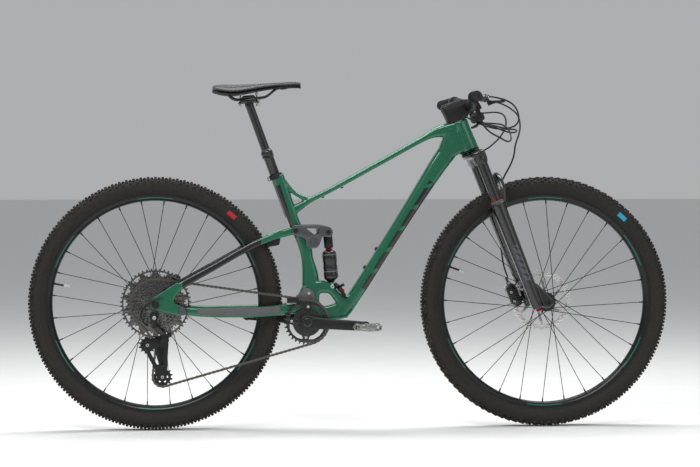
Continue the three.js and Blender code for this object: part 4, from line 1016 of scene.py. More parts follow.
def saddle_layer(drop, middle_thickness, rim_thickness, tuck, groove):
    """A layer of the saddle, thinner towards its rim, with a long hollow down its middle."""
    rings = []
    for x, half, top, edge in spline(SADDLE, 5):
        half = max(half - tuck, 2)
        upper, lower = [], []
        for s in range(SADDLE_COLUMNS + 1):
            share = 1 - 2 * s / SADDLE_COLUMNS
            side = abs(share)
            hollow = groove * math.exp(-(share / 0.22) ** 2) * (1 if -390 < x < -190 else 0.2)
            height = top - drop - edge * side ** 2.4
            thickness = middle_thickness + (rim_thickness - middle_thickness) * side ** 2
            upper.append((x, share * half, height - hollow - thickness * 0.4 * side ** 10))
            lower.append((x, share * half * 0.95, height - thickness))
        rings.append(upper + lower[::-1])
    return skin(rings)


cushion = make(
    "saddle_pad", saddle_layer(0, 9, 6, 0, 4), COVER, "saddle_post", "saddle_cushion", smooth=70, levels=1,
)
base = saddle_layer(8.6, 4.5, 4, 2, 0)
make("saddle_base", base, SATIN, "saddle_post", "saddle_shell", smooth=60)
seam_points = []
for x, half, top, edge in spline(SADDLE[2:-2], 4):
    share = 0.78
    seam_points.append((x, share * half, top - edge * share ** 2.4 + 0.1))
make("saddle_seams", both(tube(seam_points, 0.5, 8, 2)), SATIN, "saddle_post", slot="saddle_cover")
nose_box = loft([
    [-214, 0, 1000, 18, 6], [-204, 0, 999, 22, 10], [-190, 0, 1001, 20, 9], [-172, 0, 1006, 16, 6],
], sides=20)
make("saddle_nose_box", nose_box, SATIN, "saddle_post")
rail_half = [
    (-370, 30, 990), (-361, 28, 979), (-350, 25, 969), (-335, 22, 964.3), (-303, 22, 967), (-268, 22, 970),
    (-250, 18, 974.5), (-236, 12, 985), (-222, 6, 996), (-206, 3, 1000),
]
rails = tube(rail_half + [(x, -y, z) for x, y, z in reversed(rail_half)], 3.5, 14, 5)
make("saddle_rail", rails, SATIN, "saddle_post", "saddle_rails")
sockets = both(rod((-378, 32, 996), (-366, 29.4, 985), 6.2, 4.8))
make("rail_sockets", sockets, SATIN, "saddle_post")
stanchion = lathe(
    [(12.4, 20), (12.4, 226), (12.9, 229), (12.9, 240), (11, 243)], POST_FOOT, POST_DIRECTION, 48,
)
cradle = merged(
    stanchion, across((-303, 960), -17, 17, 9, 1.5),
    both(plate(rounded([(-326, 955), (-280, 958), (-283, 968), (-324, 964)], 3), 15, 29, 1.5)),
    both(plate(rounded([(-324, 967), (-282, 971), (-288, 978), (-320, 975)], 3), 15, 29, 1.5)),
    plate(rounded([(-334, 951), (-272, 956), (-276, 964), (-330, 959)], 3), -14.5, 14.5, 1.5),
)
make("post_stanchion", cradle, GLOSS, "saddle_post", "dropper_stanchion")
clamp_bolts = merged(
    rod((-327, 0, 946), (-326, 0, 980), 2.6), rod((-276, 0, 948), (-279, 0, 984), 2.6),
    bolt((-327, 0, 948), (0.03, 0, -1), 4.6, 4), bolt((-276, 0, 951), (0.03, 0, -1), 5.4, 5),
    across((-326, 979), -8, 8, 4.6, 0.8), across((-279, 982), -8, 8, 4.6, 0.8),
    across((-274, 958), -12, 12, 5.4, 0.8),
)
make("post_bolts", clamp_bolts, STEEL, "saddle_post")


# Fork

crown_outline = rounded([
    (-24, -30), (-10, -84), (6, -91), (28, -88), (34, -60), (35, 0), (34, 60), (28, 88), (6, 91), (-10, 84),
    (-24, 30),
], 14)
crown = merged(
    flat(plate(crown_outline, 475, 489, 5)),
    both(upright([(16, 450), (17.4, 451), (20.6, 462), (21.4, 484), (20, 489), (15, 490)], 40, LEG_PLACE)),
    both(tube([(11, 68, 456), (8, 52, 466), (2, 30, 480), (-2, 8, 486)], [21, 19, 14, 11], 24, 5)),
    upright([(22, 478), (29, 484), (28.4, 493.6), (24, 494.4)], 40),
)
make("crown_forging", steered(crown), GLOSS, "steerer", voxel=1.5, relax=6, smooth=60)
stanchions = both(upright([(15, 178), (16, 179), (16, 462)], 48, LEG_PLACE))
make("stanchion_tubes", steered(stanchions), GLOSS, "steerer", "fork_crown")
caps = both(upright([
    (14.6, 488), (14.6, 491), (13.6, 492.4), (8, 492.6), (7.6, 496), (6.8, 497), (0, 497),
], 32, LEG_PLACE))
make("crown_caps", steered(caps), SATIN, "steerer")

leg = upright([
    (16, -4), (17.6, -2.6), (18.4, 20), (19, 120), (20.2, 220), (21.2, 300), (21.6, 318), (21, 326),
    (18.6, 328.4),
], 48, LEG_PLACE)
dropout_front = plate(rounded([
    (5, 2), (20, -3), (31, -14), (44, -16), (58, -10), (61, 3), (56, 15), (34, 64), (8, 84),
], 7), 56, 75, 4)
arch_half = [
    (14, 67, 296), (25, 66, 316), (36, 62, 340), (43, 54, 366), (46, 40, 388), (46, 20, 399), (46, 0, 401),
]
arch_points = arch_half + [(x, -y, z) for x, y, z in reversed(arch_half[:-1])]
arch = merged(
    tube(arch_points, 9.6, 16, 4), tube([(x - 10, y * 0.985, z - 2) for x, y, z in arch_points], 9, 16, 4),
)
caliper_posts = merged(rod((-6, 62, 66), (-24, 46, 66), 8), rod((-6, 62, 24), (-24, 46, 26), 8))
lowers = merged(both(merged(leg, dropout_front)), arch, caliper_posts)
make("lowers_casting", steered(lowers), LEG, "fork_lower", "fork_lowers", voxel=1.7, relax=5, smooth=60)
seals = both(upright([
    (16.2, 327), (19.6, 327.6), (19.6, 332), (18.2, 335), (16.4, 336),
], 48, LEG_PLACE, closed=True))
make("fork_seals", steered(seals), SEAL, "fork_lower")
make("fork_o_ring", steered(upright([
    (16.1, 338), (18.0, 338.6), (18.0, 341.4), (16.1, 342),
], 48, KNOB_PLACE, closed=True)), RED_METAL, "fork_lower")
front_axle = merged(
    turned([(6, -76), (7.2, -75), (7.2, 72), (6, 73)], 32, (44, 0, 0)),
    lathe([
        (10.5, 74.4), (10.5, 77.4), (8.6, 79), (4, 79.4), (3.8, 78.4), (3.8, 75.4), (0, 75.4),
    ], (44, 0, 0), (0, -1, 0), 40, hexed=4),
)
make("front_axle_piece", steered(front_axle), SATIN, "fork_lower", "front_axle")
knob = merged(
    upright([(5.6, -3.6), (7.6, -4), (7.6, -6), (6.6, -7)], 36, KNOB_PLACE),
    *[
        rod((*polar(KNOB_PLACE, 6.9, a), -5.6), (*polar(KNOB_PLACE, 6.6, a), -12.4), 1.3, 1.1, 0.4, 8)
        for a in [2 * math.pi * k / 12 for k in range(12)]
    ],
    upright([(6.9, -5), (6.9, -11.6), (6, -13), (0, -13)], 36, KNOB_PLACE),
)
make("rebound_dial", steered(knob), RED_METAL, "rebound_knob", "rebound_knob")
caliper_outline = rounded([(-46, 24), (-28, 8), (-12, 14), (-12, 70), (-24, 86), (-46, 72)], 8)
front_brake = merged(
    plate(caliper_outline, 26, 37.8, 3), plate(caliper_outline, 44.2, 57, 3),
    plate(rounded([(-46, 30), (-30, 20), (-30, 74), (-46, 68)], 5), 37, 45, 1),
    *[rod((-34, a, z), (-34, b, z), 8) for a, b in ((57, 60.5), (26, 22.5)) for z in (30, 58)],
)
make("front_caliper_body", steered(front_brake), GLOSS, "fork_lower", "front_caliper")
fins = []
for z in range(22, 58, 7):
    fin_outline = rounded([(-45, z + 8), (-14, z), (-14, z + 3), (-45, z + 11)], 1)
    fins.append(plate(fin_outline, 57, 59.4, 0.4))
inner_fins = [mirrored(moved(fin, Matrix.Translation((0, -83, 0)))) for fin in fins]
make("caliper_fins", steered(merged(*fins, *inner_fins)), ALLOY, "fork_lower")
banjo = merged(
    rod((-28.6, 60, 99.5), (-28, 52, 84), 3.6),
    turned([(3, -5), (6.4, -5), (6.4, 5), (3, 5)], 24, (-28, 50, 84), closed=True),
)
make("caliper_banjo", steered(banjo), SATIN, "fork_lower")
make("front_caliper_bolts", steered(merged(
    bolt((-28, 55, 84), ACROSS, 4.4, 3), bolt((-28, 45, 84), (0, -1, 0), 4.4, 3),
    bolt((-34, 25, 30), (0, -1, 0), 4.2, 3), bolt((-34, 25, 58), (0, -1, 0), 4.2, 3),
    bolt((-42, 50, 72), (-0.9, 0, 0.4), 4.6, 5), bolt((-42, 50, 22), (-0.9, 0, -0.4), 4.6, 5),
)), STEEL, "fork_lower")


# Cockpit

stem_side = rounded([
    (-31, 591), (27, 591), (34, 600), (50, 602), (54, 638), (26, 650), (-10, 650), (-36, 646), (-33, 615),
], 5)
stem = merged(plate(stem_side, -24, 24, 6), turned([
    (19, -22), (20.5, -20.5), (20.5, 20.5), (19, 22),
], 48, (47.4, 0, 620)))
make("stem_body", steered(stem), SATIN, "steerer", "stem", smooth=28)
face = rounded([(50, 602), (62, 604), (68.6, 612), (68.6, 628), (62, 637), (50, 639)], 5)
face_bolts = merged(*[bolt((64, y, z), (1, 0, 0.0), 3.6, 4.6) for y in (-14, 14) for z in (607, 633)])
make("stem_face", steered(merged(both(plate(face, 8, 21, 2)), plate(face, -7, 7, 2))), SATIN, "steerer")
make("stem_bolts", steered(face_bolts), STEEL, "steerer")
top_panel = flat(plate(rounded([(-30, -15), (24, -13), (24, 13), (-30, 15)], 5), 649.4, 651, 0.5))
make("stem_top_panel", steered(top_panel), GLOSS, "steerer")

BAR_BEND, BAR_END = Vector((42, 160, 643)), Vector((21, 370, 646))


def bar_point(y):
    return BAR_BEND.lerp(BAR_END, (y - 160) / 210)


bar_half = [
    (47.4, 0, 620), (47.4, 30, 620), (47.4, 62, 621), (46.4, 86, 627), (45, 112, 636), tuple(BAR_BEND),
    tuple(bar_point(190)), tuple(bar_point(240)), tuple(BAR_END),
]
radii = [15.9, 15.9, 14.4, 12.2, 11.4, 11.1, 11.1, 11.1, 11.1]
bar_all = [(x, -y, z) for x, y, z in reversed(bar_half[1:])] + bar_half
make("bar", steered(tube(bar_all, radii[:0:-1] + radii, 24, 6)), SATIN, "steerer", "handlebar")
BAR_RUN = (BAR_END - BAR_BEND).normalized()


def grip_shape():
    profile = [(11.6, 0), (14.6, 0.4), (15, 1.4), (15, 8), (14.4, 9)]
    for k in range(22):
        start = 10.5 + 4.9 * k
        profile += [(14.2, start), (15.5, start + 0.8), (15.6, start + 2.8), (14.2, start + 3.7)]
    profile += [(14.4, 119), (15.4, 120.4), (15.6, 126.5), (14.2, 129), (6, 129.6), (0, 129.6)]
    return lathe(profile, bar_point(240.5), BAR_RUN, 40)


def master_shape():
    body = merged(
        tube([(58, 216, 630), (63, 206, 631), (67, 170, 632.5), (70, 132, 634)], [8.6, 9.6, 9.4, 7.4], 24, 5),
        lathe([(7.6, 0), (7.8, 1), (7.8, 5), (6, 7)], (70, 132, 634), (0.08, -1, 0.03), 24),
        tube([(44, 203, 641), (52, 204, 636), (62, 204, 631)], [9, 8, 8.6], 16, 3),
        rod((68, 208, 618.8), (66, 208, 632), 8.4, 9),
    )
    return merged(body, lathe([
        (12, 0), (16.6, 0.5), (17, 1.5), (17, 10.5), (16.6, 11.6), (12, 12),
    ], bar_point(197), BAR_RUN, 40, closed=True))


def lever_shape():
    blade = tube([
        (72, 205, 612), (78, 220, 611), (83, 238, 610), (85.4, 266, 608.6), (86.6, 296, 607),
        (88, 320, 606.6), (91.6, 338, 607),
    ], [6.6, 5.6, 4.6, 4.3, 4.3, 4.6, 5.6], 16, 5)
    pivot = upright([(6.6, 605.4), (7.2, 606.2), (7.2, 617.8), (6.6, 618.6)], 32, (74, 208, 0))
    return merged(blade, pivot)


def clamp_arm():
    return merged(
        lathe([
            (12, 0), (15.2, 0.4), (15.6, 1.2), (15.6, 9.8), (15.2, 10.6), (12, 11),
        ], bar_point(182), BAR_RUN, 40, closed=True),
        tube([(41, 187, 629), (44, 184, 618), (46, 180, 606)], [5.5, 6, 6], 16, 4),
    )


grip, master, lever = steered(grip_shape()), steered(master_shape()), steered(lever_shape())
make("grip_sleeve_left", grip, RUBBER, "steerer", "grip_left")
make("grip_sleeve_right", steered(mirrored(grip_shape())), RUBBER, "steerer", "grip_right")
make("master_left", master, GLOSS, "steerer", "brake_master_left")
make("master_right", mirrored(master), GLOSS, "steerer", "brake_master_right")
make("lever_left", lever, SATIN, "brake_lever_left", "brake_lever_left")
make("lever_right", mirrored(lever), SATIN, "brake_lever_right", "brake_lever_right")
lever_pins = steered(merged(bolt((74, 208, 626), UPWARD, 3.8, 3.4), bolt((52, 203, 650), UPWARD, 3.2, 3)))
reservoir = merged(
    plate(rounded([(58, 622), (76, 624), (78, 640), (60, 640)], 4), 150, 186, 2),
    lathe([(5, 0), (5.6, 0.6), (5.6, 8), (4.4, 9)], (75, 178, 630), (1, 0, 0.1), 20),
)
make("brake_reservoirs", both(steered(reservoir)), GLOSS, "steerer")
plug = turned([(11, 369), (12.6, 369.6), (12.6, 371), (8.5, 371.2), (7.4, 370), (0, 370)], 32)
plug = moved(plug, Matrix.Translation((BAR_END.x, 0, BAR_END.z)))
make("bar_plugs", both(steered(plug)), ALLOY, "steerer")
make("brake_pins", both(lever_pins), STEEL, "steerer")

shift_case = merged(
    clamp_arm(), tube([(44, 184, 618), (38, 183, 604), (32, 182, 590)], [6, 7, 8], 16, 4),
    flat(plate(rounded([(11, 150), (49, 156), (51, 184), (35, 198), (13, 194)], 10), 572, 596, 6)),
    rod((39, 162, 585), (38, 150.5, 585), 5, 4.4),
    upright([(13, 595), (13, 598), (11, 600), (0, 600.4)], 32, (32, 174, 0)),
    upright([(15, 566), (16, 567.5), (16, 571), (12, 573)], 32, (30, 178, 6)),
)
make("shifter_housing", steered(mirrored(shift_case)), SATIN, "steerer", "shifter_case", smooth=28)
paddle = merged(
    upright([(8, 563.4), (9, 564.2), (9, 570.8), (8, 571.4)], 32, (33, 172, 0)),
    tube([(33, 172, 568), (21, 190, 566.6), (10, 208, 565)], [4.4, 3.6, 4], 14, 4),
    flat(plate(rounded([(-3, 204), (11, 200), (19, 212), (15, 221), (1, 222)], 5), 561, 568, 2)),
)
make("shifter_lever", steered(mirrored(paddle)), SATIN, "shifter_paddle", "shifter_paddle")
remote = merged(
    clamp_arm(), flat(plate(rounded([(34, 160), (60, 162), (60, 186), (38, 192)], 7), 594, 611, 4)),
    rod((56, 166, 602), (58, 146, 602), 4.4, 3.4),
)
make("remote_housing", steered(remote), SATIN, "steerer", "remote_case", smooth=28)
remote_arm = merged(
    upright([(7, 587), (8, 587.8), (8, 592.8), (7, 593.6)], 32, (48, 174, 0)),
    tube([(48, 174, 590), (36, 194, 589), (26, 212, 588)], [4.6, 4.4, 5.4], 14, 4),
)
make("remote_arm", steered(remote_arm), SATIN, "remote_lever", "remote_lever")

# Each cable's route, the same as its CAD solid's, and the body that it rides on, or two bodies and two points
# of a blend, which make does not apply
CABLES = {
    "front_brake_hose": ([
        [366.8, 127.7, 969.8], [369, 114, 971], [384, 102, 973], [412, 98, 970], [440, 98, 965],
        [466, 97, 957], [489, 92, 944], [507, 80, 925], [512, 65, 900], [508, 50, 873], [495, 42, 835],
        [489, 40, 800], [478, 46, 770], [462, 62, 735], [452, 95, 690], [458, 98, 560], [468, 96, 478],
        [478, 84, 440], [470, 60, 436],
    ], ("steerer", "fork_lower", (0.452, 0.095, 0.69), (0.468, 0.096, 0.478))),
    "lockout_cable": ([
        [360.8, 160.2, 938.4], [366, 146, 937], [384, 130, 932], [414, 121, 932], [445, 116, 934],
        [466, 106, 928], [474, 95, 912], [472, 85, 889], [461, 80, 868], [446, 76, 850], [422, 72, 829],
        [404, 71, 818], [388.7, 70, 809.8],
    ], "steerer"),
    "rear_brake_hose": ([
        [366.8, -127.7, 969.8], [369, -114, 971], [386, -100, 973], [414, -94, 970], [444, -90, 962],
        [468, -78, 949], [486, -50, 928], [493, -20, 905], [486, 8, 890], [462, 20, 884],
        [430, 16, 890], [400, 13, 896], [372, 12, 904], [357.6, 12, 916], [352.7, 12, 926.4],
    ], "steerer"),
    "shift_housing": ([
        [355, -152.6, 912.3], [358, -141, 906], [372, -128, 888], [394, -118, 868], [424, -106, 853],
        [448, -82, 843], [463, -58, 846], [468, -36, 858], [464, -18, 878], [446, -8, 893],
        [420, -4, 897], [398, -2, 898], [372, -1, 905], [357.6, -1, 916], [352.7, -1, 926.4],
    ], "steerer"),
    "remote_cable": ([
        [354.1, 159.3, 928.2], [358, 146, 924], [374, 133, 912], [400, 125, 899], [432, 118, 888],
        [462, 108, 883], [490, 80, 882], [499, 50, 878], [488, 20, 871], [462, -10, 872],
        [432, -15, 882], [400, -15, 893], [372, -14, 903], [357.6, -14, 916], [352.7, -14, 926.4],
    ], "steerer"),
    "derailleur_housing": ([
        [-552, -86, 392], [-575, -88, 386], [-602, -88, 368], [-616, -86, 345], [-610, -82, 322],
        [-597, -76, 310],
    ], ("seatstay", "derailleur_link", (-0.602, -0.088, 0.368), (-0.6, -0.078, 0.314))),
}
for cable_name, (route, body) in CABLES.items():
    make(cable_name + "_line", tube(route, 2.5, 12, 8), SATIN, body, cable_name)
ferrules = []
for cable_name, (route, body) in CABLES.items():
    if body == "steerer":
        for a, b in ((route[0], route[1]), (route[-1], route[-2])):
            a, b = Vector(a), Vector(b)
            ferrules.append(rod(a, a + (b - a).normalized() * 13, 3.5, 3.1, 0.5, 20))
make("cable_ferrules", merged(*ferrules), SATIN, "steerer")


# Wheels

TYRE_PROFILE = [
    (319.6, -15.5), (322, -17), (328, -22), (336, -26.8), (344, -28.6), (352, -27.4), (358.5, -22.5),
    (362.5, -15), (364.6, -7), (365, 0),
]
KNOB_ROWS = 108


def knob(angle, y, radius, long, wide, tall, lean):
    """A tread block on the tyre at an angle round the wheel, leaning outwards by lean."""
    along = Vector((-math.sin(angle), 0, math.cos(angle)))
    out = Vector((math.cos(angle), 0, math.sin(angle)))
    up = out * math.cos(lean) + Vector((0, math.sin(lean), 0))
    side = along.cross(up).normalized()
    foot = out * radius + Vector((0, y, 0))
    points = []
    for height, share in ((-1.5, 1.0), (tall - 0.7, 0.86), (tall, 0.72)):
        for a, b in ((-1, -1), (1, -1), (1, 1), (-1, 1)):
            points.append(foot + up * height + along * (a * share * long / 2) + side * (b * share * wide / 2))
    faces = [[8, 9, 10, 11]]
    for layer in (0, 4):
        for i in range(4):
            j = (i + 1) % 4
            faces.append([layer + i, layer + j, layer + 4 + j, layer + 4 + i])
    return points, faces


def tyre_shape(centre):
    profile = TYRE_PROFILE + [(r, -y) for r, y in reversed(TYRE_PROFILE[:-1])]
    blocks = []
    half_step = math.pi / KNOB_ROWS
    for k in range(KNOB_ROWS):
        angle = 2 * math.pi * k / KNOB_ROWS
        odd = k % 2
        for side in (-1, 1):
            blocks.append(knob(angle, side * (3.6 if odd else 6.4), 364.6, 8.5, 5.4, 5.2, side * 0.12))
            blocks.append(knob(angle + half_step, side * 12.6, 362.8, 8, 5.6, 5, side * 0.34))
            blocks.append(knob(angle, side * 18.6, 360, 8, 5, 4.8, side * 0.5))
            blocks.append(knob(
                angle + half_step, side * 24.6, 356, 9.5 if odd else 8, 7 if odd else 5.6, 5.4, side * 0.82,
            ))
    carcass = turned(profile, 180, closed=True)
    return moved(merged(carcass, *blocks), Matrix.Translation(centre))


RIM_PROFILE = [
    (299, -4), (299, 4), (301.5, 8), (306, 12.6), (310, 15.2), (314, 16), (321.6, 16), (322.2, 15),
    (322.2, 13.4), (319, 13), (317.5, 10), (317.5, -10), (319, -13), (322.2, -13.4), (322.2, -15),
    (321.6, -16), (314, -16), (310, -15.2), (306, -12.6), (301.5, -8),
]
SPOKES = 28


def round_wheel(centre, angle, radius, y):
    return Vector(centre) + Vector((radius * math.cos(angle), y, radius * math.sin(angle)))


def spoke_shapes(centre, flanges, valve):
    """Spokes crossing from the hub's two flanges to the rim, and the nipple at the end of each."""
    step = 2 * math.pi / SPOKES
    spokes, nipples = [], []
    for k in range(SPOKES):
        at_rim = valve + (k + 0.5) * step
        side = k % 2
        cross = 1.15 if k % 4 < 2 else -1.15
        a = round_wheel(centre, at_rim + cross, 25, flanges[side])
        bed = -2.5 if side == 0 else 2.5
        spokes.append(rod(a, round_wheel(centre, at_rim, 299, bed), 1.05, 1.05, 0.2, 8))
        foot = round_wheel(centre, at_rim, 300, bed)
        nipples.append(rod(foot, foot + (a - foot).normalized() * 12, 2.3, 1.8, 0.3, 10))
    return merged(*spokes), merged(*nipples)


def valve_shapes(centre, valve):
    out = (round_wheel((0, 0, 0), valve, 1, 0)) * -1
    foot = round_wheel(centre, valve, 301, 0)
    stem = lathe([(4.4, 0), (4.4, 3.4), (3, 4), (3, 30), (2.6, 31), (0, 31)], foot, out, 20)
    tip = lathe([(3.4, 30), (3.4, 38), (2.4, 40), (2, 46), (0, 46.4)], foot, out, 20)
    return stem, tip


ROTOR_THICKNESS = 1.8
ROTOR_SLOTS = 30


def rotor_shape(centre, outer, inner, arms, y):
    """A brake disc: a wavy rim, a band of slots, and slanted arms down to its carrier."""
    middle = (centre[0], centre[2])
    angles = [2 * math.pi * i / 144 for i in range(144)]
    outline = [polar(middle, outer - 0.8 + 0.8 * math.cos(12 * a), a) for a in angles]
    holes = [circle(middle, 19.6, 40)]
    band = outer - 15.5
    for k in range(arms):
        start = 2 * math.pi * k / arms
        wide = 2 * math.pi / arms
        window = []
        for radius, a, b in ((inner + 4, 0.16, 0.84), (band, 1.02, 0.14)):
            for s in range(7):
                angle = start + wide * (a + (b - a) * s / 6) + (radius - inner) * 0.009
                window.append(polar(middle, radius, angle))
        holes.append(window)
    for k in range(ROTOR_SLOTS):
        for row in range(2):
            angle = 2 * math.pi * (k + 0.5 * row) / ROTOR_SLOTS
            holes.append(circle(polar(middle, outer - 5 - 5.6 * row, angle), 2.1, 8))
    return plate(outline, y - ROTOR_THICKNESS / 2, y + ROTOR_THICKNESS / 2, 0.25, holes)


FRONT_HUB = [
    (8, -55), (11, -55), (11, -43), (24, -42), (28, -41), (28.4, -39), (28, -37), (22, -35.6), (16, -33),
    (14.6, -26), (14.2, 0), (14.6, 14), (16, 21), (22, 23.6), (28, 25), (28.4, 26.5), (28, 28), (20, 31),
    (19, 39.6), (17.2, 39.6), (17.2, 44), (11, 45), (11, 55), (8, 55),
]
REAR_HUB = [
    (8, -73.5), (10, -73.5), (10, -71), (17, -71), (17, -31), (28, -28), (28.4, -25.5), (28, -23),
    (20, -21), (16, -17), (14.6, -8), (14.6, 20), (16, 31), (25.4, 34), (26.4, 37), (25.4, 39.4), (20, 42),
    (19, 57.8), (17.2, 58), (17.2, 63), (11, 64), (11, 73.5), (8, 73.5),
]
# Axle, hub profile, flange places, valve angle, three finishes, rotor radius and rotor place across the bike
WHEELS = {
    "front": (
        FRONT_AXLE, FRONT_HUB, (-39, 26), math.radians(159.9), FRONT_TYRE, FRONT_RIM, FRONT_ROTOR, 90, 41,
    ),
    "rear": (
        REAR_AXLE, REAR_HUB, (-25.5, 37), math.radians(168.7), REAR_TYRE, REAR_RIM, REAR_ROTOR, 80, 59.5,
    ),
}
for end, (centre, hub, flanges, valve, tyre_look, rim_look, rotor_look, disc, disc_y) in WHEELS.items():
    wheel = end + "_wheel"
    make(end + "_tread", tyre_shape(centre), tyre_look, wheel, end + "_tyre", smooth=32)
    make(
        end + "_rim_hoop", turned(RIM_PROFILE, 144, centre, closed=True), rim_look, wheel, end + "_rim",
        smooth=32,
    )
    make(end + "_hub_shell", turned(hub, 56, centre), SATIN, wheel, end + "_hub", smooth=30)
    spokes, nipples = spoke_shapes(centre, flanges, valve)
    make(end + "_spokes", spokes, SPOKE, wheel)
    make(end + "_nipples", nipples, SPOKE, wheel)
    stem_part, tip_part = valve_shapes(centre, valve)
    make(end + "_valve_stem", stem_part, SATIN, wheel)
    make(end + "_valve_tip", tip_part, STEEL, wheel)
    make(
        end + "_disc", rotor_shape(centre, disc, 22, 6, disc_y), rotor_look, wheel, end + "_rotor",
        smooth=25,
    )
    ring = turned(
        [(17.6, 0.9), (22.5, 0.9), (22.5, 2.6), (21.5, 3.4), (17.6, 3.4)], 36,
        (centre[0], disc_y, centre[2]), closed=True,
    )
    make(end + "_lock_ring", ring, SATIN, wheel)


# Drivetrain

WHEEL_MIDDLE = (-HALF_BASE, AXLE_Z)
FIRST_COG_Y, COG_STEP = -33.3, 3.55
cogs = []
for i, teeth in enumerate(COG_TEETH):
    pitch = pitch_radius(teeth)
    y = FIRST_COG_Y - COG_STEP * i
    holes = [circle(WHEEL_MIDDLE, 17.8, 40)]
    inner, outer = (pitch_radius(COG_TEETH[i + 1]) - 3 if i < 2 else 30), pitch - 8
    if outer > inner + 8:
        count = 14 if teeth > 45 else 10 if teeth > 36 else 8
        for k in range(count):
            middle = 2 * math.pi * (k + 0.03 * i) / count
            half = math.pi / count * 0.66
            window = [
                polar(WHEEL_MIDDLE, r, middle + a * half)
                for r, a in (
                    (inner, -0.7), (inner, 0), (inner, 0.7), (outer, 1), (outer, 0.34), (outer, -0.34),
                    (outer, -1),
                )
            ]
            holes.append(window)
    cogs.append(
        plate(toothed(WHEEL_MIDDLE, teeth, pitch - 3.4, pitch + 2.4, 0.5), y - 0.85, y + 0.85, 0.3, holes)
    )
cogs.append(turned([(18, -34), (23.4, -34), (23.4, -71), (18, -71)], 40, REAR_AXLE, closed=True))
cogs.append(turned([(12, -73.4), (12, -73.9), (16.6, -73.9), (17.6, -73)], 36, REAR_AXLE, closed=True))
make("cassette_cogs", merged(*cogs), COG_METAL, "cassette", "cassette", smooth=25)

CRANK_ANGLE = 4
CRANK_TURN = Matrix.Translation(at(BOTTOM_BRACKET)) @ Matrix.Rotation(math.radians(CRANK_ANGLE), 4, "Y")
arm_stations = [
    [-20, -75, 0, 17, 30], [0, -75, 0, 18, 40], [30, -75.4, 0, 17, 35], [70, -76.4, 0, 15.5, 31],
    [110, -77, 0, 14.6, 30], [150, -77, 0, 14, 28], [176, -77, 0, 14, 27],
]
arm = merged(
    loft(arm_stations, power=0.62, sides=32), turned([(19, -66), (21, -67.5), (21, -82), (19, -84.4)]),
    turned([(13, -70), (14.6, -71), (14.6, -83), (13, -84)], 40, (170, 0, 0)),
)
right_arm, left_arm = moved(arm, CRANK_TURN), moved(
    mirrored(arm), CRANK_TURN @ Matrix.Rotation(math.pi, 4, "Y"),
)
make("crank_arm_right", right_arm, SATIN, "crank", "crank_right", voxel=1.3, relax=4, smooth=60)
make("crank_arm_left", left_arm, SATIN, "crank", "crank_left", voxel=1.3, relax=4, smooth=60)
bottom_cap = turned([
    (13, -84), (13, -85.2), (11.6, -86), (6.6, -86), (6, -85), (6, -80), (0, -80),
], 40, hexed=4)
make("crank_caps", merged(
    moved(bottom_cap, CRANK_TURN), moved(mirrored(bottom_cap), CRANK_TURN),
), GLOSS, "crank")

RING_PITCH = pitch_radius(RING_TEETH)
ring_holes = [circle(BOTTOM_BRACKET, 33, 40)]
for k in range(4):
    middle = math.radians(45 + 90 * k) - math.radians(CRANK_ANGLE)
    window = [
        polar(BOTTOM_BRACKET, r, middle + a)
        for r, a in (
            (38, -0.42), (37, 0), (38, 0.42), (51, 0.62), (54, 0.32), (54.6, 0), (54, -0.32), (51, -0.62),
        )
    ]
    ring_holes.append(rounded(window, 3, 3))
ring_plate = plate(
    toothed(BOTTOM_BRACKET, RING_TEETH, RING_PITCH - 4.2, RING_PITCH + 2.6, 0.25), RING_Y - 1, RING_Y + 1,
    0.4, ring_holes,
)
ARM_ANGLES = [math.radians(90 * k - CRANK_ANGLE) for k in range(4)]


def spider_arm(angle):
    corners = ((18, -9), (48, -6), (52, 0), (48, 6), (18, 9))
    outline = [polar(BOTTOM_BRACKET, r, angle + side / r) for r, side in corners]
    return plate(rounded(outline, 3, 3), -57.5, -53, 1.2)


spider = merged(
    across(BOTTOM_BRACKET, -54, -56.4, 42, 0.8), across(BOTTOM_BRACKET, -56, -58.6, 30, 0.8),
    across(BOTTOM_BRACKET, -47.6, -66, 22, 1.5), *[spider_arm(angle) for angle in ARM_ANGLES],
)
make("chainring_teeth", merged(ring_plate, turned(
    [(27, -50.4), (36, -50.4), (36, -53.6), (27, -53.6)], 48, at(BOTTOM_BRACKET), closed=True,
)), GLOSS, "crank", "chainring", smooth=25)
make("crank_spider", spider, GLOSS, "crank", slot="satin_black")
ring_bolts = [bolt(at(polar(BOTTOM_BRACKET, 45, a), -57.4), (0, -1, 0), 4.2, 2) for a in ARM_ANGLES]
make("ring_bolts", merged(*ring_bolts), STEEL, "crank")


def pedal_parts():
    """A clip-in pedal about its own axle, on the right side: its body, and its bare metal."""
    core = rounded([(-22, -9), (22, -11), (27, 0), (22, 11), (-22, 9), (-27, 0)], 5)
    front = rounded([(18, -10), (40, -9.5), (43, 4), (35, 12), (18, 10)], 4)
    back = rounded([(-18, 10), (-34, 12), (-41, 2), (-35, -8), (-18, -10)], 4)
    body = merged(plate(core, -148, -98, 3), turned([(9, -86), (10.4, -88), (10.4, -99), (9.4, -100)], 32))
    coils = [
        turned([(2.2, y), (4.4, y - 1), (4.4, y - 2), (2.2, y - 3)], 16, (-27, 0, 0))
        for y in range(-132, -103, 4)
    ]
    metal = merged(
        plate(front, -142, -104, 2, [rounded([(26, -5), (36, -5), (37, 5), (26, 5)], 2)]),
        plate(back, -138, -108, 2, [rounded([(-25, 5), (-34, 6), (-35, -3), (-25, -4)], 2)]),
        turned([(6.4, -70), (6.4, -84), (9, -84.6), (9, -87.4), (7, -88.4), (7, -92)], 32),
        rod((-30, -112, 10), (-30, -132, 10), 2), rod((33, -112, 11), (33, -132, 11), 2.2),
        bolt((-38, -123, 3), (-1, 0, 0.2), 3, 3), *coils,
    )
    return body, metal


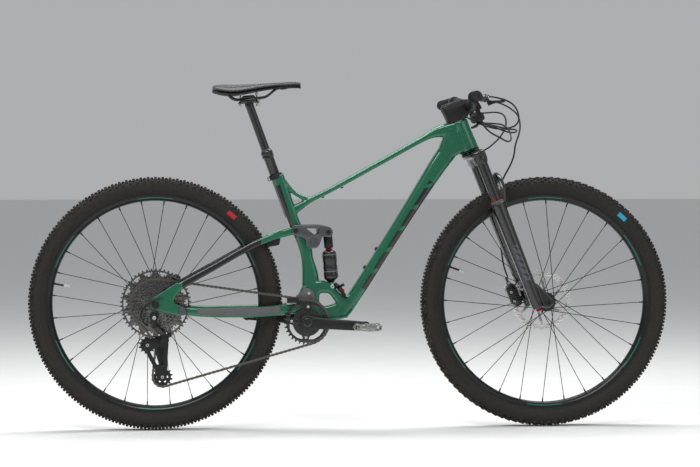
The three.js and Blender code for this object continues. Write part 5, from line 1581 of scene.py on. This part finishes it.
pedal_body, pedal_metal = pedal_parts()
for side, place, facing in (("right", (34.6, 0, 304.1), lambda s: s), ("left", (-304.6, 0, 327.9), mirrored)):
    there = Matrix.Translation(place)
    pedal = "pedal_" + side
    make(pedal + "_body", moved(facing(pedal_body), there), WORN, pedal, pedal, slot="satin_black")
    make(pedal + "_metal", moved(facing(pedal_metal), there), WORN, pedal)

hanger = merged(plate(rounded([
    (-588, 349), (-564, 349), (-564, 332), (-578, 322), (-592, 332),
], 6), -81, -74.6, 1.2), across((-578, 334), -80, -96, 10, 1.2))
make("hanger_plate", hanger, SATIN, "seatstay", "derailleur_hanger")
b_knuckle = merged(
    loft([[-580, -89, 336, 14, 20], [-580, -88, 324, 15, 18], [-577, -87, 312, 16, 16]], sides=24),
    across((-578, 334), -96, -98.6, 6.5, 0.8), rod((-583, -92, 308), (-569, -80, 308), 5),
)
make("hanger_knuckle", b_knuckle, SATIN, "seatstay")
make("hanger_bolt", bolt((-578, -98.4, 334), (0, -1, 0), 5.6, 2.4), STEEL, "seatstay")
outer_link = loft([
    [-586, -93, 316, 7, 14], [-574, -84, 304, 7, 15], [-560, -72, 291, 7, 13], [-553, -66, 284, 6, 11],
], sides=20)
inner_link = loft([[-578, -80, 306, 7, 12], [-566, -70, 294, 7, 13], [-554, -60, 283, 6, 10]], sides=20)
make("derailleur_links", merged(
    outer_link, inner_link, rod((-576, -93, 309), (-576, -79, 309), 4),
    rod((-553, -69, 287), (-553, -55, 287), 4),
), GLOSS, "derailleur_link", "derailleur_link")
p_knuckle = merged(
    loft([[-556, -58, 292, 14, 16], [-552, -57, 280, 15, 20], [-549, -57, 266, 15, 24]], sides=24),
    across(CAGE_PIVOT, -50, -65, 13.4, 1.6), across(CAGE_PIVOT, -64.6, -66.6, 9.5, 0.8),
    rod((-540, -58, 276), (-528, -58, 282), 5, 4.4),
)
make("derailleur_body", p_knuckle, SATIN, "derailleur_knuckle", "derailleur_knuckle", smooth=40)
outer_cage = rounded([
    (-537, 258), (-538, 272), (-549, 279), (-600, 267), (-613, 256), (-608, 240), (-573, 172), (-571, 152),
    (-556, 143), (-542, 150), (-542, 168),
], 6)
inner_cage = rounded([
    (-581, 251), (-585, 262), (-598, 267), (-611, 262), (-613, 254), (-608, 240), (-573, 170), (-571, 150),
    (-556, 143), (-542, 150), (-542, 168),
], 6)
cage_slots = [
    rounded([(-594, 238), (-579, 241), (-565, 194), (-571, 194)], 2),
    rounded([(-568, 246), (-552, 246), (-549, 190), (-557, 190)], 3),
]
cage = merged(
    plate(outer_cage, -46.2, -44, 0.5, cage_slots), plate(inner_cage, -36.8, -34.8, 0.5, cage_slots),
    *[rod(at(centre, -34), at(centre, -47), 3.4) for centre in (GUIDE_CENTRE, TENSION_CENTRE)],
    across(CAGE_PIVOT, -46, -50, 9, 0.5),
)
make("cage_plates", cage, SATIN, "derailleur_cage", "derailleur_cage", slot="grey_alloy", smooth=28)
cage_bolts = [bolt(at(centre, -46.2), (0, -1, 0), 4.6, 2) for centre in (GUIDE_CENTRE, TENSION_CENTRE)]
make("cage_bolts", merged(*cage_bolts), STEEL, "derailleur_cage")
for pulley, centre, teeth in (("guide_pulley", GUIDE_CENTRE, 12), ("tension_pulley", TENSION_CENTRE, 14)):
    pitch = pitch_radius(teeth)
    spots = 6 if teeth > 12 else 0
    windows = [circle(polar(centre, pitch * 0.5, math.pi / 3 * k), 3.4, 12) for k in range(spots)]
    wheel_shape = plate(
        toothed(centre, teeth, pitch - 4, pitch + 1.6, 0.5), -41.6, -39.2, 0.4,
        [circle(centre, 3.6, 20), *windows],
    )
    bush = turned([(3.6, -43.4), (6.4, -43.4), (6.4, -37.4), (3.6, -37.4)], 28, at(centre), closed=True)
    make(pulley + "_teeth", merged(wheel_shape, bush), SATIN, pulley, pulley, smooth=25)


def chain_path():
    """The closed run of the chain in the side view, as close points."""
    circles = [
        (WHEEL_MIDDLE, pitch_radius(COG_TEETH[COG_IN_USE]), 1), (BOTTOM_BRACKET, RING_PITCH, 1),
        (TENSION_CENTRE, pitch_radius(14), 1), (GUIDE_CENTRE, pitch_radius(12), -1),
    ]
    headings = []
    for i, (centre, radius, turn) in enumerate(circles):
        after, next_radius, next_turn = circles[(i + 1) % 4]
        dx, dz = after[0] - centre[0], after[1] - centre[1]
        headings.append(
            math.atan2(dz, dx) - math.asin((turn * radius - next_turn * next_radius) / math.hypot(dx, dz))
        )
    points = []
    for i, (centre, radius, turn) in enumerate(circles):
        start = headings[i - 1] + math.pi / 2
        sweep = headings[i] + math.pi / 2 - start
        while turn * sweep > 0:
            sweep -= turn * 2 * math.pi
        while turn * sweep < -2 * math.pi:
            sweep += turn * 2 * math.pi
        steps = max(3, math.ceil(abs(sweep) / 0.06))
        for s in range(steps + 1):
            angle = start + sweep * s / steps
            points.append(Vector(polar(centre, turn * radius, angle)))
    return points


def chain_pins():
    """Evenly spaced pins along the chain, each with its distance across the bike."""
    path = chain_path()
    path.append(path[0])
    lengths = [(b - a).length for a, b in zip(path, path[1:])]
    count = 2 * round(sum(lengths) / CHAIN_PITCH / 2)
    step = sum(lengths) / count
    pins, i, used = [], 0, 0.0
    for k in range(count):
        target = k * step
        while used + lengths[i] < target:
            used += lengths[i]
            i += 1
        p = path[i].lerp(path[i + 1], (target - used) / max(lengths[i], 1e-9))
        share = min(1, max(0, (p.x + 500) / 295))
        pins.append(Vector((p.x, COG_Y + (RING_Y - COG_Y) * share, p.y)))
    return pins


def link_plate(a, b, offset):
    """One side plate from pin to pin, waisted in the middle."""
    run = b - a
    length = math.hypot(run.x, run.z)
    u = Vector((run.x / length, 0, run.z / length))
    n = Vector((-u.z, 0, u.x))
    outline = []
    for end, place in ((1, b), (-1, a)):
        for s in range(5):
            angle = math.pi / 2 * (1 - s / 2) * 0.9
            outline.append(place + (u * math.cos(angle) + n * math.sin(angle)) * 3.9 * end)
        outline.append((a + b) / 2 - n * 2.7 * end)
    low, high = offset - 0.42, offset + 0.42
    count = len(outline)
    points = [p + Vector((0, low, 0)) for p in outline] + [p + Vector((0, high, 0)) for p in outline]
    faces = [list(range(count)), [count + i for i in range(count)][::-1]]
    faces += [[i, (i + 1) % count, count + (i + 1) % count, count + i] for i in range(count)]
    return points, faces


pins = chain_pins()
PULLEY_TOP, PULLEY_FRONT, COGS_FRONT = 282, -536, -470
chain_parts = {"runs": [], "rear": [], "pulleys": []}
for k, pin in enumerate(pins):
    after = pins[(k + 1) % len(pins)]
    middle = (pin + after) / 2
    part = "runs"
    if middle.z < PULLEY_TOP and middle.x < PULLEY_FRONT:
        part = "pulleys"
    elif middle.z > PULLEY_TOP and middle.x < COGS_FRONT:
        part = "rear"
    spread = 2.35 if k % 2 else 1.4
    chain_parts[part] += [link_plate(pin, after, side * spread) for side in (-1, 1)]
    chain_parts[part].append(turned([(3.6, -1.1), (3.6, 1.1)], 12, pin))
    chain_parts[part].append(turned([(1.7, -2.9), (1.7, 2.9)], 8, pin))
# The chain's three passes: the runs and the rear pass list blends of the frame and the two stays, which make
# does not apply; the pulley pass rides on the cage
CHAIN_BODIES = {
    "runs": ("frame", "chainstay", (-0.205, 0, 0.35), (-0.44, 0, 0.35)),
    "rear": ("chainstay", "seatstay", (-0.47, 0, 0.36), (-0.55, 0, 0.36)), "pulleys": "derailleur_cage",
}
for part, pieces in chain_parts.items():
    make("chain_" + part, merged(*pieces), CHAIN_METAL, CHAIN_BODIES[part], "chain", smooth=30)


# Stage

FLOOR_HALF, FLOOR_DROP = 60.0, 0.0004
floor_mesh = bpy.data.meshes.new("floor")
floor_mesh.from_pydata([
    (x * FLOOR_HALF, y * FLOOR_HALF, -FLOOR_DROP)
    for x, y in ((-1, -1), (1, -1), (1, 1), (-1, 1))
], [], [[0, 1, 2, 3]])
floor = bpy.data.objects.new("floor", floor_mesh)
bpy.context.scene.collection.objects.link(floor)
pale = tinted("pale_floor", (0.74, 0.74, 0.73), (0.77, 0.77, 0.76), 0.8, scale=0.01, bump=0.0)
floor_mesh.materials.append(pale)


def area_light(name, place, target, size, power):
    data = bpy.data.lights.new(name, "AREA")
    data.shape = "RECTANGLE"
    data.size, data.size_y = size
    data.energy = power
    light = bpy.data.objects.new(name, data)
    bpy.context.scene.collection.objects.link(light)
    light.location = place
    light.rotation_euler = (Vector(target) - Vector(place)).to_track_quat("-Z", "Y").to_euler()


area_light("key_light", (-1.2, -2.6, 3.6), (0, 0, 0.5), (3.6, 1.2), 105)
area_light("fill_light", (3.0, -3.0, 2.0), (0, 0, 0.5), (2.4, 2.4), 16)
area_light("top_light", (0, 0.6, 3.2), (0, 0, 0.4), (3.6, 1.0), 110)
world = bpy.data.worlds.new("soft_room")
world.use_nodes = True
world.node_tree.nodes["Background"].inputs["Color"].default_value = (0.95, 0.97, 1.0, 1)
world.node_tree.nodes["Background"].inputs["Strength"].default_value = 0.44
bpy.context.scene.world = world
bpy.context.scene.view_settings.view_transform = "Standard"

CAMERA_PLACE = (-0.5178, -5.8662, 0.739)
LOOK = (0.0872, 0.9962)
PITCH = math.radians(1.62)
view = Vector((LOOK[0] * math.cos(PITCH), LOOK[1] * math.cos(PITCH), -math.sin(PITCH)))
camera_data = bpy.data.cameras.new("camera")
camera_data.lens = 102.9
camera_data.sensor_width = 36
camera = bpy.data.objects.new("camera", camera_data)
camera.location = CAMERA_PLACE
camera.rotation_euler = view.to_track_quat("-Z", "Y").to_euler()
bpy.context.scene.collection.objects.link(camera)
bpy.context.scene.camera = camera
